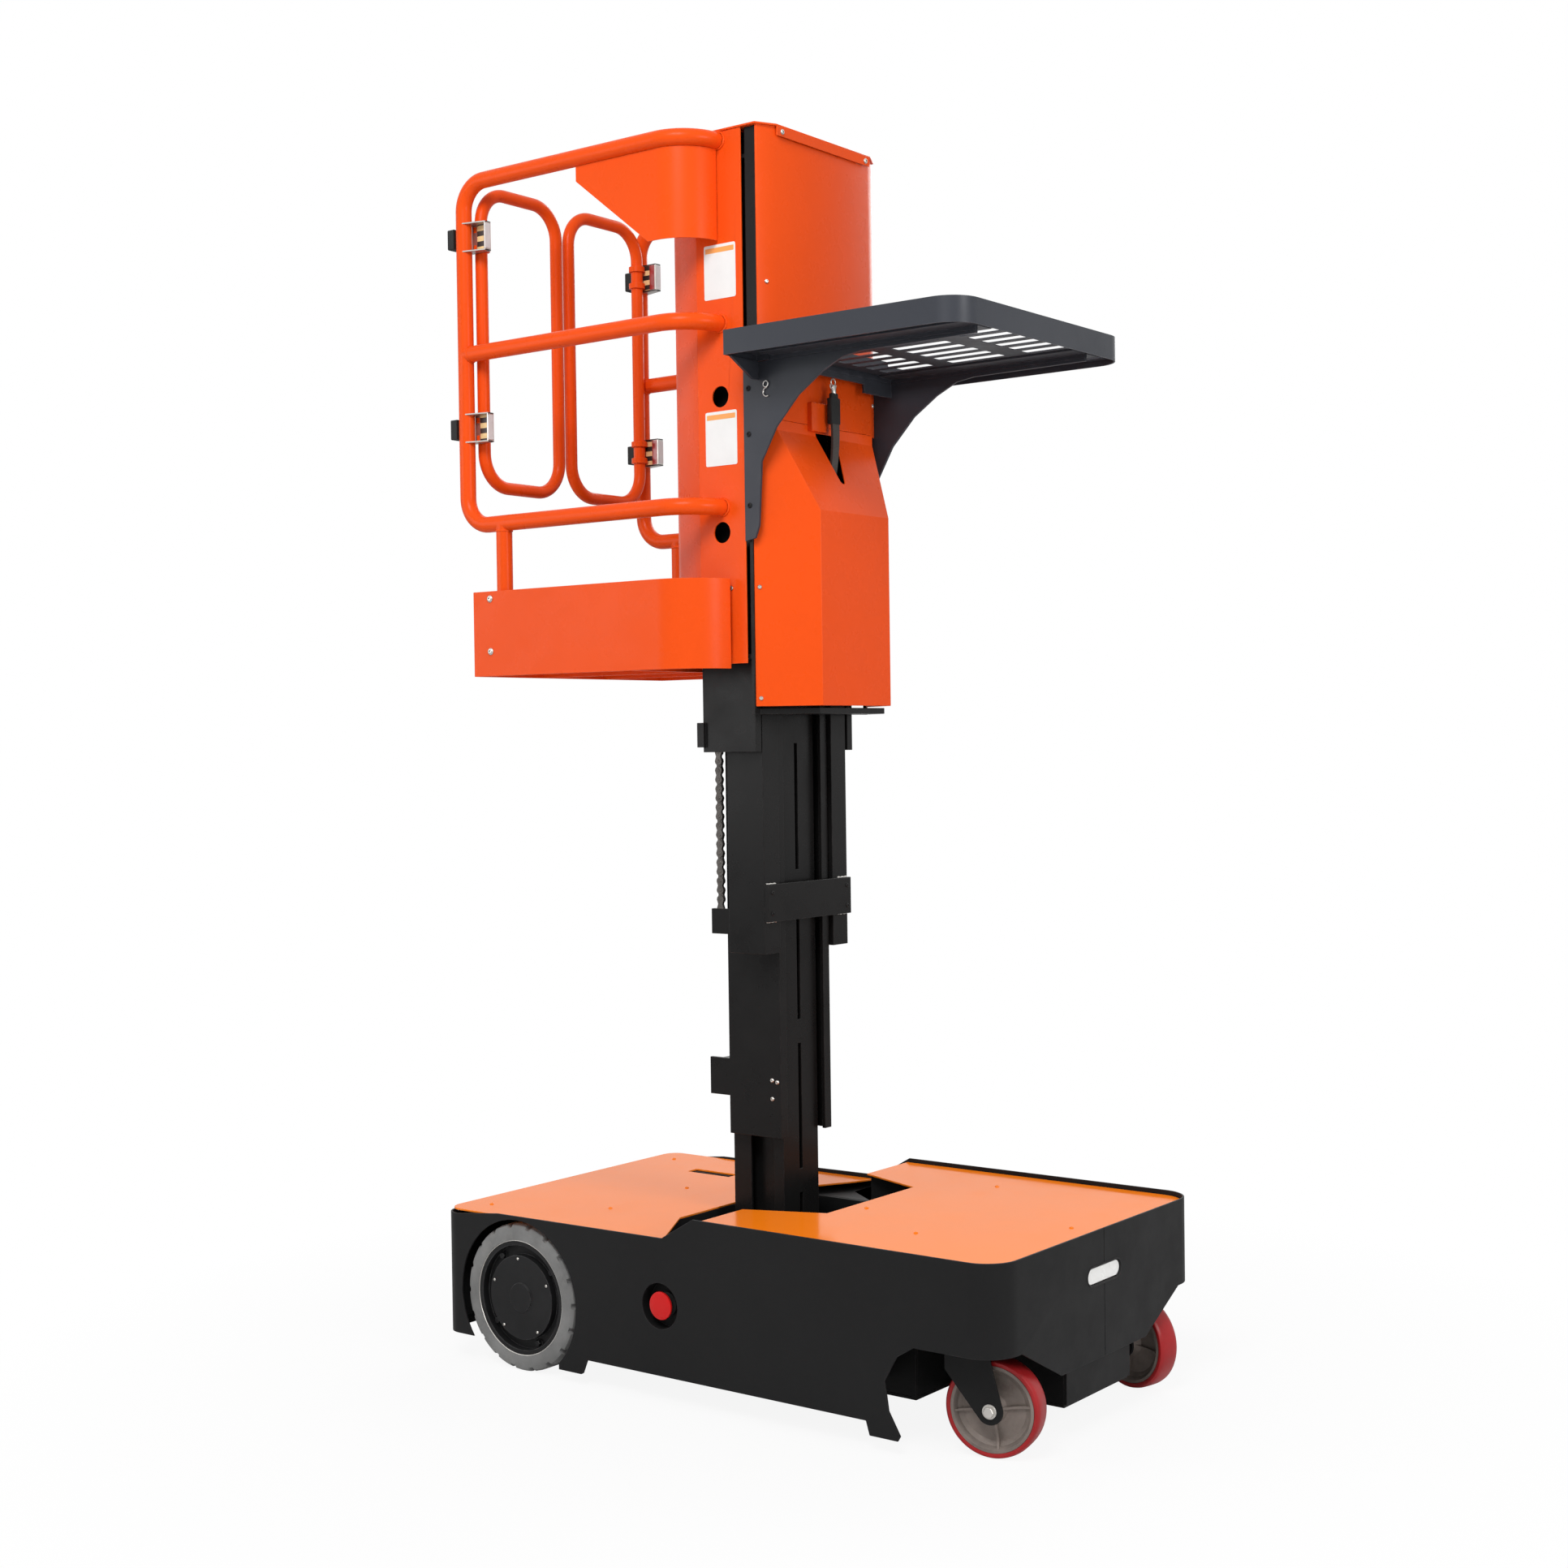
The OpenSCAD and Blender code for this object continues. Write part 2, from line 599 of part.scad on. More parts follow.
// Floor: a chequer sheet over a shallow frame of channels
module platform_floor() {
    color(paint) {
        translate([0, 0, toe_low + floor_up - 4]) linear_extrude(4) for (s = [-1, 1])
            to_side(s) difference() {
                polygon(wing(0));
                translate([stub_x, -rail_y]) circle(d = rail_d + 2*seat, $fn = 32);
                translate([stub_x - rail_d/2 - seat, -basket_half]) square([rail_d + 2*seat, basket_half - rail_y]);
            }
        box([-640, -300, toe_low], [-634, 300, toe_low + floor_up - 4]);
        box([column_back - 6, -300, toe_low], [column_back, 300, toe_low + floor_up - 4]);
        for (s = [-1, 1]) to_side(s)
            box([-634, -basket_half + toe_t, toe_low], [column_back - 6, -basket_half + toe_t + 4, toe_low + floor_up - 4]);
        for (y = [-100, 100])
            box([-634, y - 3, toe_low], [column_back - 6, y + 3, toe_low + floor_up - 4]);
    }
}

// Toe board: straight sheet that bends round to the column
module toe_board() {
    color(paint) {
        box([-640, -basket_half, toe_low], [toe_bend_x, -basket_half + toe_t, toe_low + toe_h]);
        translate([toe_bend_x, -basket_half + toe_r, toe_low]) rotate([0, 0, -90])
            rotate_extrude(angle = 80, $fn = 64) translate([toe_r - toe_t, 0]) square([toe_t, toe_h]);
    }
}
module toe_board_right() toe_board();
module toe_board_left() mirror([0, 1, 0]) toe_board();

// Rail that runs forward at height z and bends in to the column
module side_rail(z, x0) {
    r = rail_r;
    bar_x(x0, rail_bend_x, -rail_y, z, rail_d);
    translate([rail_bend_x, -rail_y + r, z]) rotate([0, 0, -90]) bend(r, rail_d);
}

// Guard rail: bent top rail, rear post and bottom rail, with a middle rail and a stub
module guard_rail() {
    r = 60;
    color(paint) {
        side_rail(rail_top, post_x + r);
        side_rail(rail_low, post_x + r);
        side_rail(rail_mid, post_x);
        bar_z(rail_low + r, rail_top - r, post_x, -rail_y, rail_d);
        translate([post_x + r, -rail_y, rail_top - r]) rotate([90, 0, 0]) rotate([0, 0, 90]) bend(r, rail_d);
        translate([post_x + r, -rail_y, rail_low + r]) rotate([90, 0, 0]) rotate([0, 0, 180]) bend(r, rail_d);
        bar_z(toe_low + floor_up - 4, rail_low, stub_x, -rail_y, rail_d);
    }
}
module guard_rail_right() guard_rail();
module guard_rail_left() mirror([0, 1, 0]) guard_rail();

// Control console: a sheet pocket hanging from the right top rail
module console() {
    y = -rail_y;
    top = rail_top - rail_d/2 - seat;
    color(paint) {
        xz_plate([[-344, top], [-344, 2441], [-187, 2318], [-153, 2291],
            [rail_bend_x, 2291], [rail_bend_x, top]], y - 2, y + 1);
        translate([rail_bend_x, y + rail_r, 2291]) rotate([0, 0, -90])
            rotate_extrude(angle = 88, $fn = 64) translate([rail_r - 1, 0]) square([3, top - 2291]);
    }
}

// Tray: rim and slotted floor, cut back around the mast cover
module tray() {
    t = 3;
    e = tray_half;
    outer = concat([[80, -203], [51, -203], [51, -e]], arc(tray_front - 60, -e + 60, 60, 270, 360, 8),
        arc(tray_front - 60, e - 60, 60, 0, 90, 8), [[51, e], [51, 203], [80, 203]]);
    inner = concat([[80 + t, -203 + 0], [80 + t, -206], [51 + t, -206], [51 + t, -e + t]],
        arc(tray_front - 60, -e + 60, 60 - t, 270, 360, 8), arc(tray_front - 60, e - 60, 60 - t, 0, 90, 8),
        [[51 + t, e - t], [51 + t, 206], [80 + t, 206], [80 + t, 203]]);
    color("#31363f") {
        translate([0, 0, tray_z + t]) linear_extrude(tray_h - t) difference() {
            polygon(outer);
            polygon(inner);
        }
        translate([0, 0, tray_z]) linear_extrude(t) difference() {
            polygon(outer);
            for (x = [130, 290, 430]) for (y = [-240:40:240])
                translate([x + (x == 290 ? 10 : 0), y - 7]) square([110, 14]);
        }
    }
}

// Two plates under the tray with arched edges, and a cross angle behind them
module tray_brackets() {
    color(black) {
        for (s = [-1, 1]) to_side(s)
            xz_plate([[17, tray_z], [17, 1690], [42, 1695], [52, 1720], [60, 1845], [97, 1908],
                [152, 1965], [209, 2003], [258, 2026], [300, 2032], [560, 2034], [560, tray_z]], -203, -197);
        for (s = [-1, 1]) to_side(s)
            box([90, -200, tray_z - 30], [96, -100, tray_z]);
        box([90, -100, tray_z - 12], [96, 100, tray_z]);
    }
}

// Safety strap from the tray's underside into the bonnet's notch
module lanyard() {
    color("#2b2622") {
        box([94, -18, 1850], [98, -2, 1980]);
        bar_z(1976, 1984, 96, -10, 20);
        bar_z(1984, tray_z - 12 - seat, 94, -10, 7);
        box([66, -18, 1844], [98, -2, 1850]);
    }
}

// Clips that carry the gates on the rear posts, with a ring round each gate's stile
module gate_hinges() {
    y = -rail_y;
    color("#b9b6ae") for (s = [-1, 1]) to_side(s) for (z = [1936, 2340]) {
        difference() {
            box([stop_x, y - 19, z], [post_x + 39, y + 19, z + 62]);
            bar_z(z - 1, z + 63, post_x, y, rail_d);
            box([post_x + 19, y - 20, z + 3], [post_x + 40, y + 16, z + 59]);
        }
        difference() {
            union() {
                bar_z(z + 6, z + 18, gate_x, -hinge_y, gate_d + 12);
                box([gate_x - 8, y + 17, z + 6], [gate_x + 8, -hinge_y, z + 18]);
            }
            bar_z(z, z + 30, gate_x, -hinge_y, gate_d + 1);
        }
    }
}

// Gate leaf: one closed loop of bent tube
module gate() {
    h = hinge_y;
    f = gate_free_y;
    d = gate_d;
    r = gate_r;
    zt = gate_top - d/2;
    zb = gate_low + d/2;
    color(paint) {
        bar_z(zb + r, zt - r, gate_x, -h, d);
        bar_z(zb + r, zt - r, gate_x, -f, d);
        bar_y(-h + r, -f - r, gate_x, zt, d);
        bar_y(-h + r, -f - r, gate_x, zb, d);
        for (q = [[-f - r, zt - r, 0], [-h + r, zt - r, 90], [-h + r, zb + r, 180], [-f - r, zb + r, 270]])
            translate([gate_x, q[0], q[1]]) rotate([90, 0, 90]) rotate([0, 0, q[2]]) bend(r, d);
    }
}
module gate_right() gate();
module gate_left() mirror([0, 1, 0]) gate();

chassis_pan();
frame_rails();
cross_walls();
outriggers();
caster_plates();
skirt_right();
skirt_left();
rear_deck();
front_deck();
battery_pack();
drive_motors();
emergency_stop();
front_lamp();
mast_base();
drive_tyre_right();
drive_hub_right();
drive_tyre_left();
drive_hub_left();
caster_fork_right();
caster_tyre_right();
caster_core_right();
caster_fork_left();
caster_tyre_left();
caster_core_left();
stage_b();
stage_c();
lift_chain();
carriage();
upper_cover();
bonnet();
column();
platform_floor();
toe_board_right();
toe_board_left();
guard_rail_right();
guard_rail_left();
console();
tray();
tray_brackets();
lanyard();
gate_hinges();
gate_right();
gate_left();
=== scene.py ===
import json
import math

import bpy
from mathutils import Matrix, Vector
from mathutils.geometry import tessellate_polygon


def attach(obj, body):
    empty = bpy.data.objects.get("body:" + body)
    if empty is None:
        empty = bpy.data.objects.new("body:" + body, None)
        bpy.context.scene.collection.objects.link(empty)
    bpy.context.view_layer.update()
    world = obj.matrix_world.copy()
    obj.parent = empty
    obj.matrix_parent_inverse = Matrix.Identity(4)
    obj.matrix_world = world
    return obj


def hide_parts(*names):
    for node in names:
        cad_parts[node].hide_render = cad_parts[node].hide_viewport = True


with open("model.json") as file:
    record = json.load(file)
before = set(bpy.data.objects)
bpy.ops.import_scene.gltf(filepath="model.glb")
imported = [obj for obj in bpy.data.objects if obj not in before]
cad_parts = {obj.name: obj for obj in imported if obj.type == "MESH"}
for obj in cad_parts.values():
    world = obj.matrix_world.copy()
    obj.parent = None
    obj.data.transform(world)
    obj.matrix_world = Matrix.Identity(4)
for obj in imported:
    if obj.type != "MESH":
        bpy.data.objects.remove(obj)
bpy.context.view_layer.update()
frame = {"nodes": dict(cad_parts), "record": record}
NODES = frame["nodes"]

# Photograph's camera, from its straight edges
CAMERA_AT = (2.7085, -3.6084, 1.293)
CAMERA_YAW = 37.4
CAMERA_PITCH = -1.1
CAMERA_ROLL = -0.8
CAMERA_LENS = 50.33

# Sizes that repeat the construction's, in metres
DRIVE_AT = Vector((-0.474, 0.332, 0.1525))
DRIVE_R = 0.1525
DRIVE_HALF_W = 0.037
CASTER_AT = Vector((0.568, 0.272, 0.0))
CASTER_TURNS = {-1: math.radians(13), 1: math.radians(-13)}
CASTER_R = 0.09
CASTER_HALF_W = 0.025
CASTER_TRAIL = 0.045
REAR_DECK_TOP = 0.318
FRONT_DECK_TOP = 0.365
LAMP_HEIGHT = 0.290
FLOOR_TOP = 1.4802
COLUMN_FACE = 0.200
COLUMN_LOW = 1.450
COLUMN_TOP = 2.506
COLUMN_FOLD = -0.100
COLUMN_FRONT = 0.015
COLUMN_HOLES = (1.712, 1.982)
STAGE_C_LOW = 0.866
STAGE_C_H = 1.265
STAGE_C_HALF = 0.142
RAIL_Y = 0.285
RAIL_HEIGHTS = (2.48875, 2.127, 1.762)
POST_X = -0.670
POST_R = 0.017
HINGE_HEIGHTS = (1.938, 2.342)
HINGE_H = 0.062
HINGE_FRONT = -0.608
GATE_X = -0.652
GATE_HINGE_Y = 0.252
GATE_FREE_Y = 0.020
GATE_HEIGHTS = (1.8495, 2.4795)
GATE_R = 0.0135
GATE_BEND = 0.070
TRAY_REAR = 0.051
TRAY_NOTCH = 0.080
TRAY_NOTCH_HALF = 0.203
TRAY_FRONT = 0.591
TRAY_HALF = 0.306
TRAY_CORNER = 0.060
TRAY_LOW = 2.040
TRAY_RIM = 0.048
TRAY_FLOOR = 2.052
BRACKET_Y = 0.200
STRAP_X = 0.094
STRAP_Y = -0.007

# Lamps: name, place, diameter and power
LAMPS = (("key", (1.3, -3.4, 4.4), 2.0, 138.0), ("side", (4.0, -0.6, 2.4), 1.6, 56.0),
         ("fill", (-3.2, -3.2, 2.0), 2.2, 30.0), ("back", (-0.8, 3.6, 3.8), 2.6, 50.0))
LAMPS_AIM = Vector((0, 0, 1.1))
WORLD_STRENGTH = 0.38


# Materials

def new_material(name):
    """A node material and its Principled shader."""
    mat = bpy.data.materials.new(name)
    mat.use_nodes = True
    nodes = mat.node_tree.nodes
    return mat, nodes, mat.node_tree.links, nodes["Principled BSDF"]


def noise(nodes, links, where, scale, detail=4.0, rough=0.5):
    """Noise texture over object coordinates."""
    tex = nodes.new("ShaderNodeTexNoise")
    tex.inputs["Scale"].default_value = scale
    tex.inputs["Detail"].default_value = detail
    tex.inputs["Roughness"].default_value = rough
    links.new(where, tex.inputs["Vector"])
    return tex.outputs["Fac"]


def remap(nodes, links, value, low, high, from_low=0.3, from_high=0.7):
    """Value remapped from one span to another, clamped."""
    node = nodes.new("ShaderNodeMapRange")
    node.inputs["From Min"].default_value = from_low
    node.inputs["From Max"].default_value = from_high
    node.inputs["To Min"].default_value = low
    node.inputs["To Max"].default_value = high
    links.new(value, node.inputs["Value"])
    return node.outputs["Result"]


def mix_colour(nodes, links, fac, a, b):
    """Mix of two colours, each a tuple or a socket."""
    node = nodes.new("ShaderNodeMix")
    node.data_type = "RGBA"
    links.new(fac, node.inputs["Factor"])
    for socket, value in (("A", a), ("B", b)):
        slot = [s for s in node.inputs if s.name == socket and s.type == "RGBA"][0]
        if isinstance(value, tuple):
            slot.default_value = (*value, 1.0)
        else:
            links.new(value, slot)
    return [s for s in node.outputs if s.type == "RGBA"][0]


def math_node(nodes, links, operation, a, b):
    """Result of a math node on two values, each a number or a socket."""
    node = nodes.new("ShaderNodeMath")
    node.operation = operation
    for slot, value in zip(node.inputs, (a, b)):
        if isinstance(value, float):
            slot.default_value = value
        else:
            links.new(value, slot)
    return node.outputs["Value"]


def add_bump(nodes, links, shader, height, strength, distance):
    """Bump from a height socket."""
    node = nodes.new("ShaderNodeBump")
    node.inputs["Strength"].default_value = strength
    node.inputs["Distance"].default_value = distance
    links.new(height, node.inputs["Height"])
    links.new(node.outputs["Normal"], shader.inputs["Normal"])


def edge_mask(nodes, links, radius, low, high):
    """1 along convex and concave edges, 0 on flats."""
    bevel = nodes.new("ShaderNodeBevel")
    bevel.samples = 4
    bevel.inputs["Radius"].default_value = radius
    geometry = nodes.new("ShaderNodeNewGeometry")
    dot = nodes.new("ShaderNodeVectorMath")
    dot.operation = "DOT_PRODUCT"
    links.new(bevel.outputs["Normal"], dot.inputs[0])
    links.new(geometry.outputs["Normal"], dot.inputs[1])
    return remap(nodes, links, dot.outputs["Value"], 1.0, 0.0, low, high)


def finish_material(name, colour, rough, vary, coat=0.0, spec=0.5, grain=700.0, bump=0.04,
                    metal=0.0, wear=None, wear_amount=0.5, blotch=3.0, dirt=None):
    """Painted, moulded or cast surface: colour drift, uneven gloss, fine grain and worn edges."""
    mat, nodes, links, shader = new_material(name)
    where = nodes.new("ShaderNodeTexCoord").outputs["Object"]
    broad = noise(nodes, links, where, blotch, 5.0, 0.55)
    darker = tuple(c*(1 - vary) for c in colour)
    lighter = tuple(min(1.0, c*(1 + vary)) for c in colour)
    tone = mix_colour(nodes, links, remap(nodes, links, broad, 0.0, 1.0), darker, lighter)
    if dirt:
        speck = noise(nodes, links, where, 26.0, 9.0, 0.75)
        tone = mix_colour(nodes, links, remap(nodes, links, speck, 0.0, 0.5, 0.52, 0.75), tone, dirt)
    if wear:
        mask = edge_mask(nodes, links, 0.0018, 0.93, 0.999)
        chips = noise(nodes, links, where, 38.0, 6.0, 0.7)
        chips = remap(nodes, links, chips, 0.0, wear_amount, 0.4, 0.65)
        broken = math_node(nodes, links, "MULTIPLY", mask, chips)
        tone = mix_colour(nodes, links, broken, tone, wear)
    links.new(tone, shader.inputs["Base Color"])
    shader.inputs["Metallic"].default_value = metal
    shader.inputs["Specular IOR Level"].default_value = spec
    shader.inputs["Coat Weight"].default_value = coat
    shader.inputs["Coat Roughness"].default_value = 0.12
    patches = noise(nodes, links, where, 14.0, 6.0, 0.6)
    links.new(remap(nodes, links, patches, rough - 0.05, rough + 0.08), shader.inputs["Roughness"])
    fine = noise(nodes, links, where, grain, 2.0, 0.5)
    add_bump(nodes, links, shader, fine, bump, 0.0006)
    return mat


def hazard_material(name, dark, light, pitch):
    """Slanted two-colour safety tape."""
    mat, nodes, links, shader = new_material(name)
    where = nodes.new("ShaderNodeTexCoord").outputs["Object"]
    parts = nodes.new("ShaderNodeSeparateXYZ")
    links.new(where, parts.inputs[0])
    total = math_node(nodes, links, "ADD", parts.outputs["Y"], parts.outputs["Z"])
    wrap = math_node(nodes, links, "PINGPONG", total, pitch)
    mask = remap(nodes, links, wrap, 0.0, 1.0, pitch*0.48, pitch*0.52)
    tone = mix_colour(nodes, links, mask, dark, light)
    grime = remap(nodes, links, noise(nodes, links, where, 60.0, 6.0, 0.7), 0.0, 0.35, 0.5, 0.75)
    links.new(mix_colour(nodes, links, grime, tone, (0.12, 0.09, 0.06)), shader.inputs["Base Color"])
    shader.inputs["Roughness"].default_value = 0.35
    return mat


def weave_material(name, colour, rib_scale):
    """Webbing: fine cross ribs and a soft sheen."""
    mat, nodes, links, shader = new_material(name)
    where = nodes.new("ShaderNodeTexCoord").outputs["Object"]
    wave = nodes.new("ShaderNodeTexWave")
    wave.bands_direction = "Z"
    wave.inputs["Scale"].default_value = rib_scale
    wave.inputs["Distortion"].default_value = 0.6
    links.new(where, wave.inputs["Vector"])
    dark = tuple(c*0.6 for c in colour)
    links.new(mix_colour(nodes, links, wave.outputs["Fac"], dark, colour), shader.inputs["Base Color"])
    shader.inputs["Roughness"].default_value = 0.8
    shader.inputs["Sheen Weight"].default_value = 0.3
    add_bump(nodes, links, shader, wave.outputs["Fac"], 0.5, 0.0005)
    return mat


ORANGE = (0.80, 0.078, 0.007)
DECK = (0.98, 0.225, 0.008)
BLACK = (0.0105, 0.0105, 0.0108)
MATERIALS = {
    "orange_paint": finish_material("orange_paint", ORANGE, 0.27, 0.03, spec=0.10, bump=0.015,
                                    wear=(0.9, 0.25, 0.08), wear_amount=0.4),
    "deck_paint": finish_material("deck_paint", DECK, 0.13, 0.02, spec=0.07, bump=0.006,
                                  wear=(1.0, 0.55, 0.25), wear_amount=0.7),
    "black_steel": finish_material("black_steel", BLACK, 0.46, 0.12, spec=0.12, grain=520.0, bump=0.04,
                                   wear=(0.07, 0.065, 0.065), wear_amount=0.6),
    "battery_case": finish_material("battery_case", (0.02, 0.02, 0.022), 0.55, 0.1, bump=0.1),
    "red_button": finish_material("red_button", (0.60, 0.010, 0.010), 0.28, 0.04, spec=0.2, bump=0.02),
    "white_lens": finish_material("white_lens", (0.9, 0.9, 0.88), 0.25, 0.02, coat=0.5, bump=0.02),
    "drive_tyre": finish_material("drive_tyre", (0.19, 0.19, 0.187), 0.72, 0.22, spec=0.25, grain=260.0,
                                  bump=0.3, blotch=16.0, dirt=(0.28, 0.27, 0.25)),
    "rim_black": finish_material("rim_black", (0.012, 0.012, 0.0125), 0.42, 0.2, spec=0.14, bump=0.08,
                                 wear=(0.14, 0.14, 0.14), wear_amount=0.8, blotch=12.0),
    "caster_tread": finish_material("caster_tread", (0.34, 0.014, 0.016), 0.32, 0.12, spec=0.25,
                                    bump=0.08, blotch=14.0, dirt=(0.16, 0.03, 0.03)),
    "core_iron": finish_material("core_iron", (0.20, 0.165, 0.145), 0.6, 0.25, metal=0.3, grain=300.0,
                                 bump=0.35, blotch=18.0, dirt=(0.1, 0.06, 0.045)),
    "chain_steel": finish_material("chain_steel", (0.085, 0.078, 0.072), 0.4, 0.3, metal=0.7,
                                   bump=0.1, blotch=60.0),
    "tray_paint": finish_material("tray_paint", (0.036, 0.039, 0.048), 0.36, 0.08, spec=0.2, bump=0.03,
                                  wear=(0.13, 0.13, 0.15), wear_amount=0.6),
    "bright_plate": finish_material("bright_plate", (0.56, 0.54, 0.51), 0.3, 0.1, metal=0.9,
                                    bump=0.08, blotch=30.0),
    "strap": weave_material("strap", (0.045, 0.036, 0.03), 144.7597),
}
MAST_BLACK = finish_material("mast_black", (0.0085, 0.0082, 0.0082), 0.28, 0.12, spec=0.14, grain=420.0,
                             bump=0.03, wear=(0.06, 0.055, 0.055), wear_amount=0.6)
MAST_NODES = ("mast_base", "stage_b", "carriage")
RUBBER = finish_material("rubber", (0.016, 0.016, 0.016), 0.7, 0.2, spec=0.3, bump=0.2)
HAZARD = hazard_material("hazard_tape", (0.02, 0.02, 0.02), (0.85, 0.62, 0.3), 0.011)
# Maroon strips on the hinge clips: a painted reflection of the orange paint on the clips' metal.
PAINTED_ORANGE_REFLECTION = finish_material("painted_orange_reflection", (0.30, 0.022, 0.02), 0.25, 0.15, coat=0.6, bump=0.1, blotch=40.0)
# White strips on the hinge clips' front folds.
WHITE_STRIP = finish_material("white_strip", (0.62, 0.62, 0.62), 0.2, 0.08, coat=0.6, bump=0.1, blotch=40.0)
LABEL_WHITE = finish_material("label_white", (0.78, 0.78, 0.77), 0.4, 0.03, bump=0.02, blotch=20.0)
LABEL_AMBER = finish_material("label_amber", (0.85, 0.34, 0.08), 0.4, 0.05, bump=0.02, blotch=20.0)


# Mesh helpers

def piece(name, verts, faces, material, body, sharp=32.0, matrix=None):
    """A mesh object that rides on a body, shaded smooth up to the sharp angle."""
    mesh = bpy.data.meshes.new(name)
    mesh.from_pydata([tuple(v) for v in verts], [], faces)
    if matrix is not None:
        mesh.transform(matrix)
    mesh.validate()
    mesh.polygons.foreach_set("use_smooth", [True]*len(mesh.polygons))
    mesh.set_sharp_from_angle(angle=math.radians(sharp))
    mesh.materials.append(MATERIALS[material] if isinstance(material, str) else material)
    obj = bpy.data.objects.new(name, mesh)
    bpy.context.scene.collection.objects.link(obj)
    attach(obj, body)
    return obj


def prism_faces(n):
    """Faces of a prism whose two outlines of n corners follow each other."""
    faces = [tuple(range(n)), tuple(reversed(range(n, 2*n)))]
    return faces + [(j, j + n, (j + 1) % n + n, (j + 1) % n) for j in range(n)]


def moved(x, y, z):
    """Translation matrix."""
    return Matrix.Translation((x, y, z))


def upright(y):
    """Matrix that stands a flat outline in the XZ plane, its thickness towards -Y from y."""
    return Matrix(((1, 0, 0, 0), (0, 0, -1, y), (0, 1, 0, 0), (0, 0, 0, 1)))


class Mesh:
    """Vertices and faces gathered from several shapes."""

    def __init__(self):
        self.verts = []
        self.faces = []

    def add(self, verts, faces, matrix=None):
        base = len(self.verts)
        for v in verts:
            self.verts.append(matrix @ Vector(v) if matrix is not None else Vector(v))
        self.faces += [tuple(i + base for i in f) for f in faces]

    def make(self, name, material, body, slot, sharp=32.0):
        return piece(name, self.verts, self.faces, material, body, sharp)


def lathe(profile, steps, radius_at=None):
    """Solid of revolution about Z from (radius, height) points. radius_at may change a radius."""
    verts = []
    faces = []
    count = len(profile)
    for k in range(steps):
        a = 2*math.pi*k/steps
        for r, z in profile:
            rr = radius_at(k, r, z) if radius_at else r
            verts.append((rr*math.cos(a), rr*math.sin(a), z))
    for k in range(steps):
        n = (k + 1) % steps
        for j in range(count - 1):
            faces.append((k*count + j, n*count + j, n*count + j + 1, k*count + j + 1))
    if profile[0][0] > 1e-9 and profile[0] == profile[-1]:
        return verts, faces
    faces.append(tuple(k*count for k in reversed(range(steps))))
    faces.append(tuple(k*count + count - 1 for k in range(steps)))
    return verts, faces


def facing(normal, at):
    """Matrix that takes +Z to the normal and the origin to a place."""
    turn = Vector(normal).to_track_quat("Z", "Y").to_matrix().to_4x4()
    return Matrix.Translation(Vector(at)) @ turn


def rounded_rect(w, h, r, steps=4):
    """Corner points of a rounded rectangle about the origin."""
    points = []
    for cx, cy, start in ((w/2 - r, h/2 - r, 0), (-w/2 + r, h/2 - r, 90),
                          (-w/2 + r, -h/2 + r, 180), (w/2 - r, -h/2 + r, 270)):
        for k in range(steps + 1):
            a = math.radians(start + 90*k/steps)
            points.append((cx + r*math.cos(a), cy + r*math.sin(a)))
    return points


def plate(points, thickness, bevel=0.0):
    """Closed plate over an outline, from z 0 to its thickness, with a small chamfer on top."""
    n = len(points)
    cx = sum(p[0] for p in points)/n
    cy = sum(p[1] for p in points)/n
    rings = [(1.0, 0.0), (1.0, thickness - bevel)]
    if bevel > 0:
        size = max(max(abs(p[0] - cx), abs(p[1] - cy)) for p in points)
        rings.append((1 - bevel/size, thickness))
    verts = []
    for s, z in rings:
        verts += [(cx + (x - cx)*s, cy + (y - cy)*s, z) for x, y in points]
    faces = [tuple(reversed(range(n)))]
    for k in range(len(rings) - 1):
        for j in range(n):
            i = (j + 1) % n
            faces.append((k*n + j, k*n + i, (k + 1)*n + i, (k + 1)*n + j))
    faces.append(tuple((len(rings) - 1)*n + j for j in range(n)))
    return verts, faces


def holed_plate(outline, holes, thickness):
    """Closed plate with holes, from z 0 to its thickness."""
    def turned(loop, left):
        area = sum(a[0]*b[1] - b[0]*a[1] for a, b in zip(loop, loop[1:] + loop[:1]))
        return loop if (area > 0) == left else loop[::-1]

    loops = [turned(list(outline), True)] + [turned(list(h), False) for h in holes]
    flat = [p for loop in loops for p in loop]
    n = len(flat)
    verts = [(x, y, 0.0) for x, y in flat] + [(x, y, thickness) for x, y in flat]
    faces = []
    for a, b, c in tessellate_polygon([[Vector((x, y, 0)) for x, y in loop] for loop in loops]):
        (ax, ay), (bx, by), (cx, cy) = flat[a], flat[b], flat[c]
        if (bx - ax)*(cy - ay) - (cx - ax)*(by - ay) < 0:
            b, c = c, b
        faces += [(c, b, a), (a + n, b + n, c + n)]
    base = 0
    for loop in loops:
        m = len(loop)
        for j in range(m):
            i = (j + 1) % m
            faces.append((base + j, base + i, base + i + n, base + j + n))
        base += m
    return verts, faces


def block(low, high):
    """Box from its two opposite corners."""
    (x0, y0, z0), (x1, y1, z1) = low, high
    outline = [(x0, y0), (x1, y0), (x1, y1), (x0, y1)]
    verts, faces = plate(outline, z1 - z0)
    return [(x, y, z + z0) for x, y, z in verts], faces


def soften(obj, width, segments=2, sharp=30.0):
    """Rounds the edges of a piece that are sharper than an angle."""
    bevel = obj.modifiers.new("bevel", "BEVEL")
    bevel.width = width
    bevel.segments = segments
    bevel.limit_method = "ANGLE"
    bevel.angle_limit = math.radians(sharp)
    bevel.harden_normals = True
    return bevel


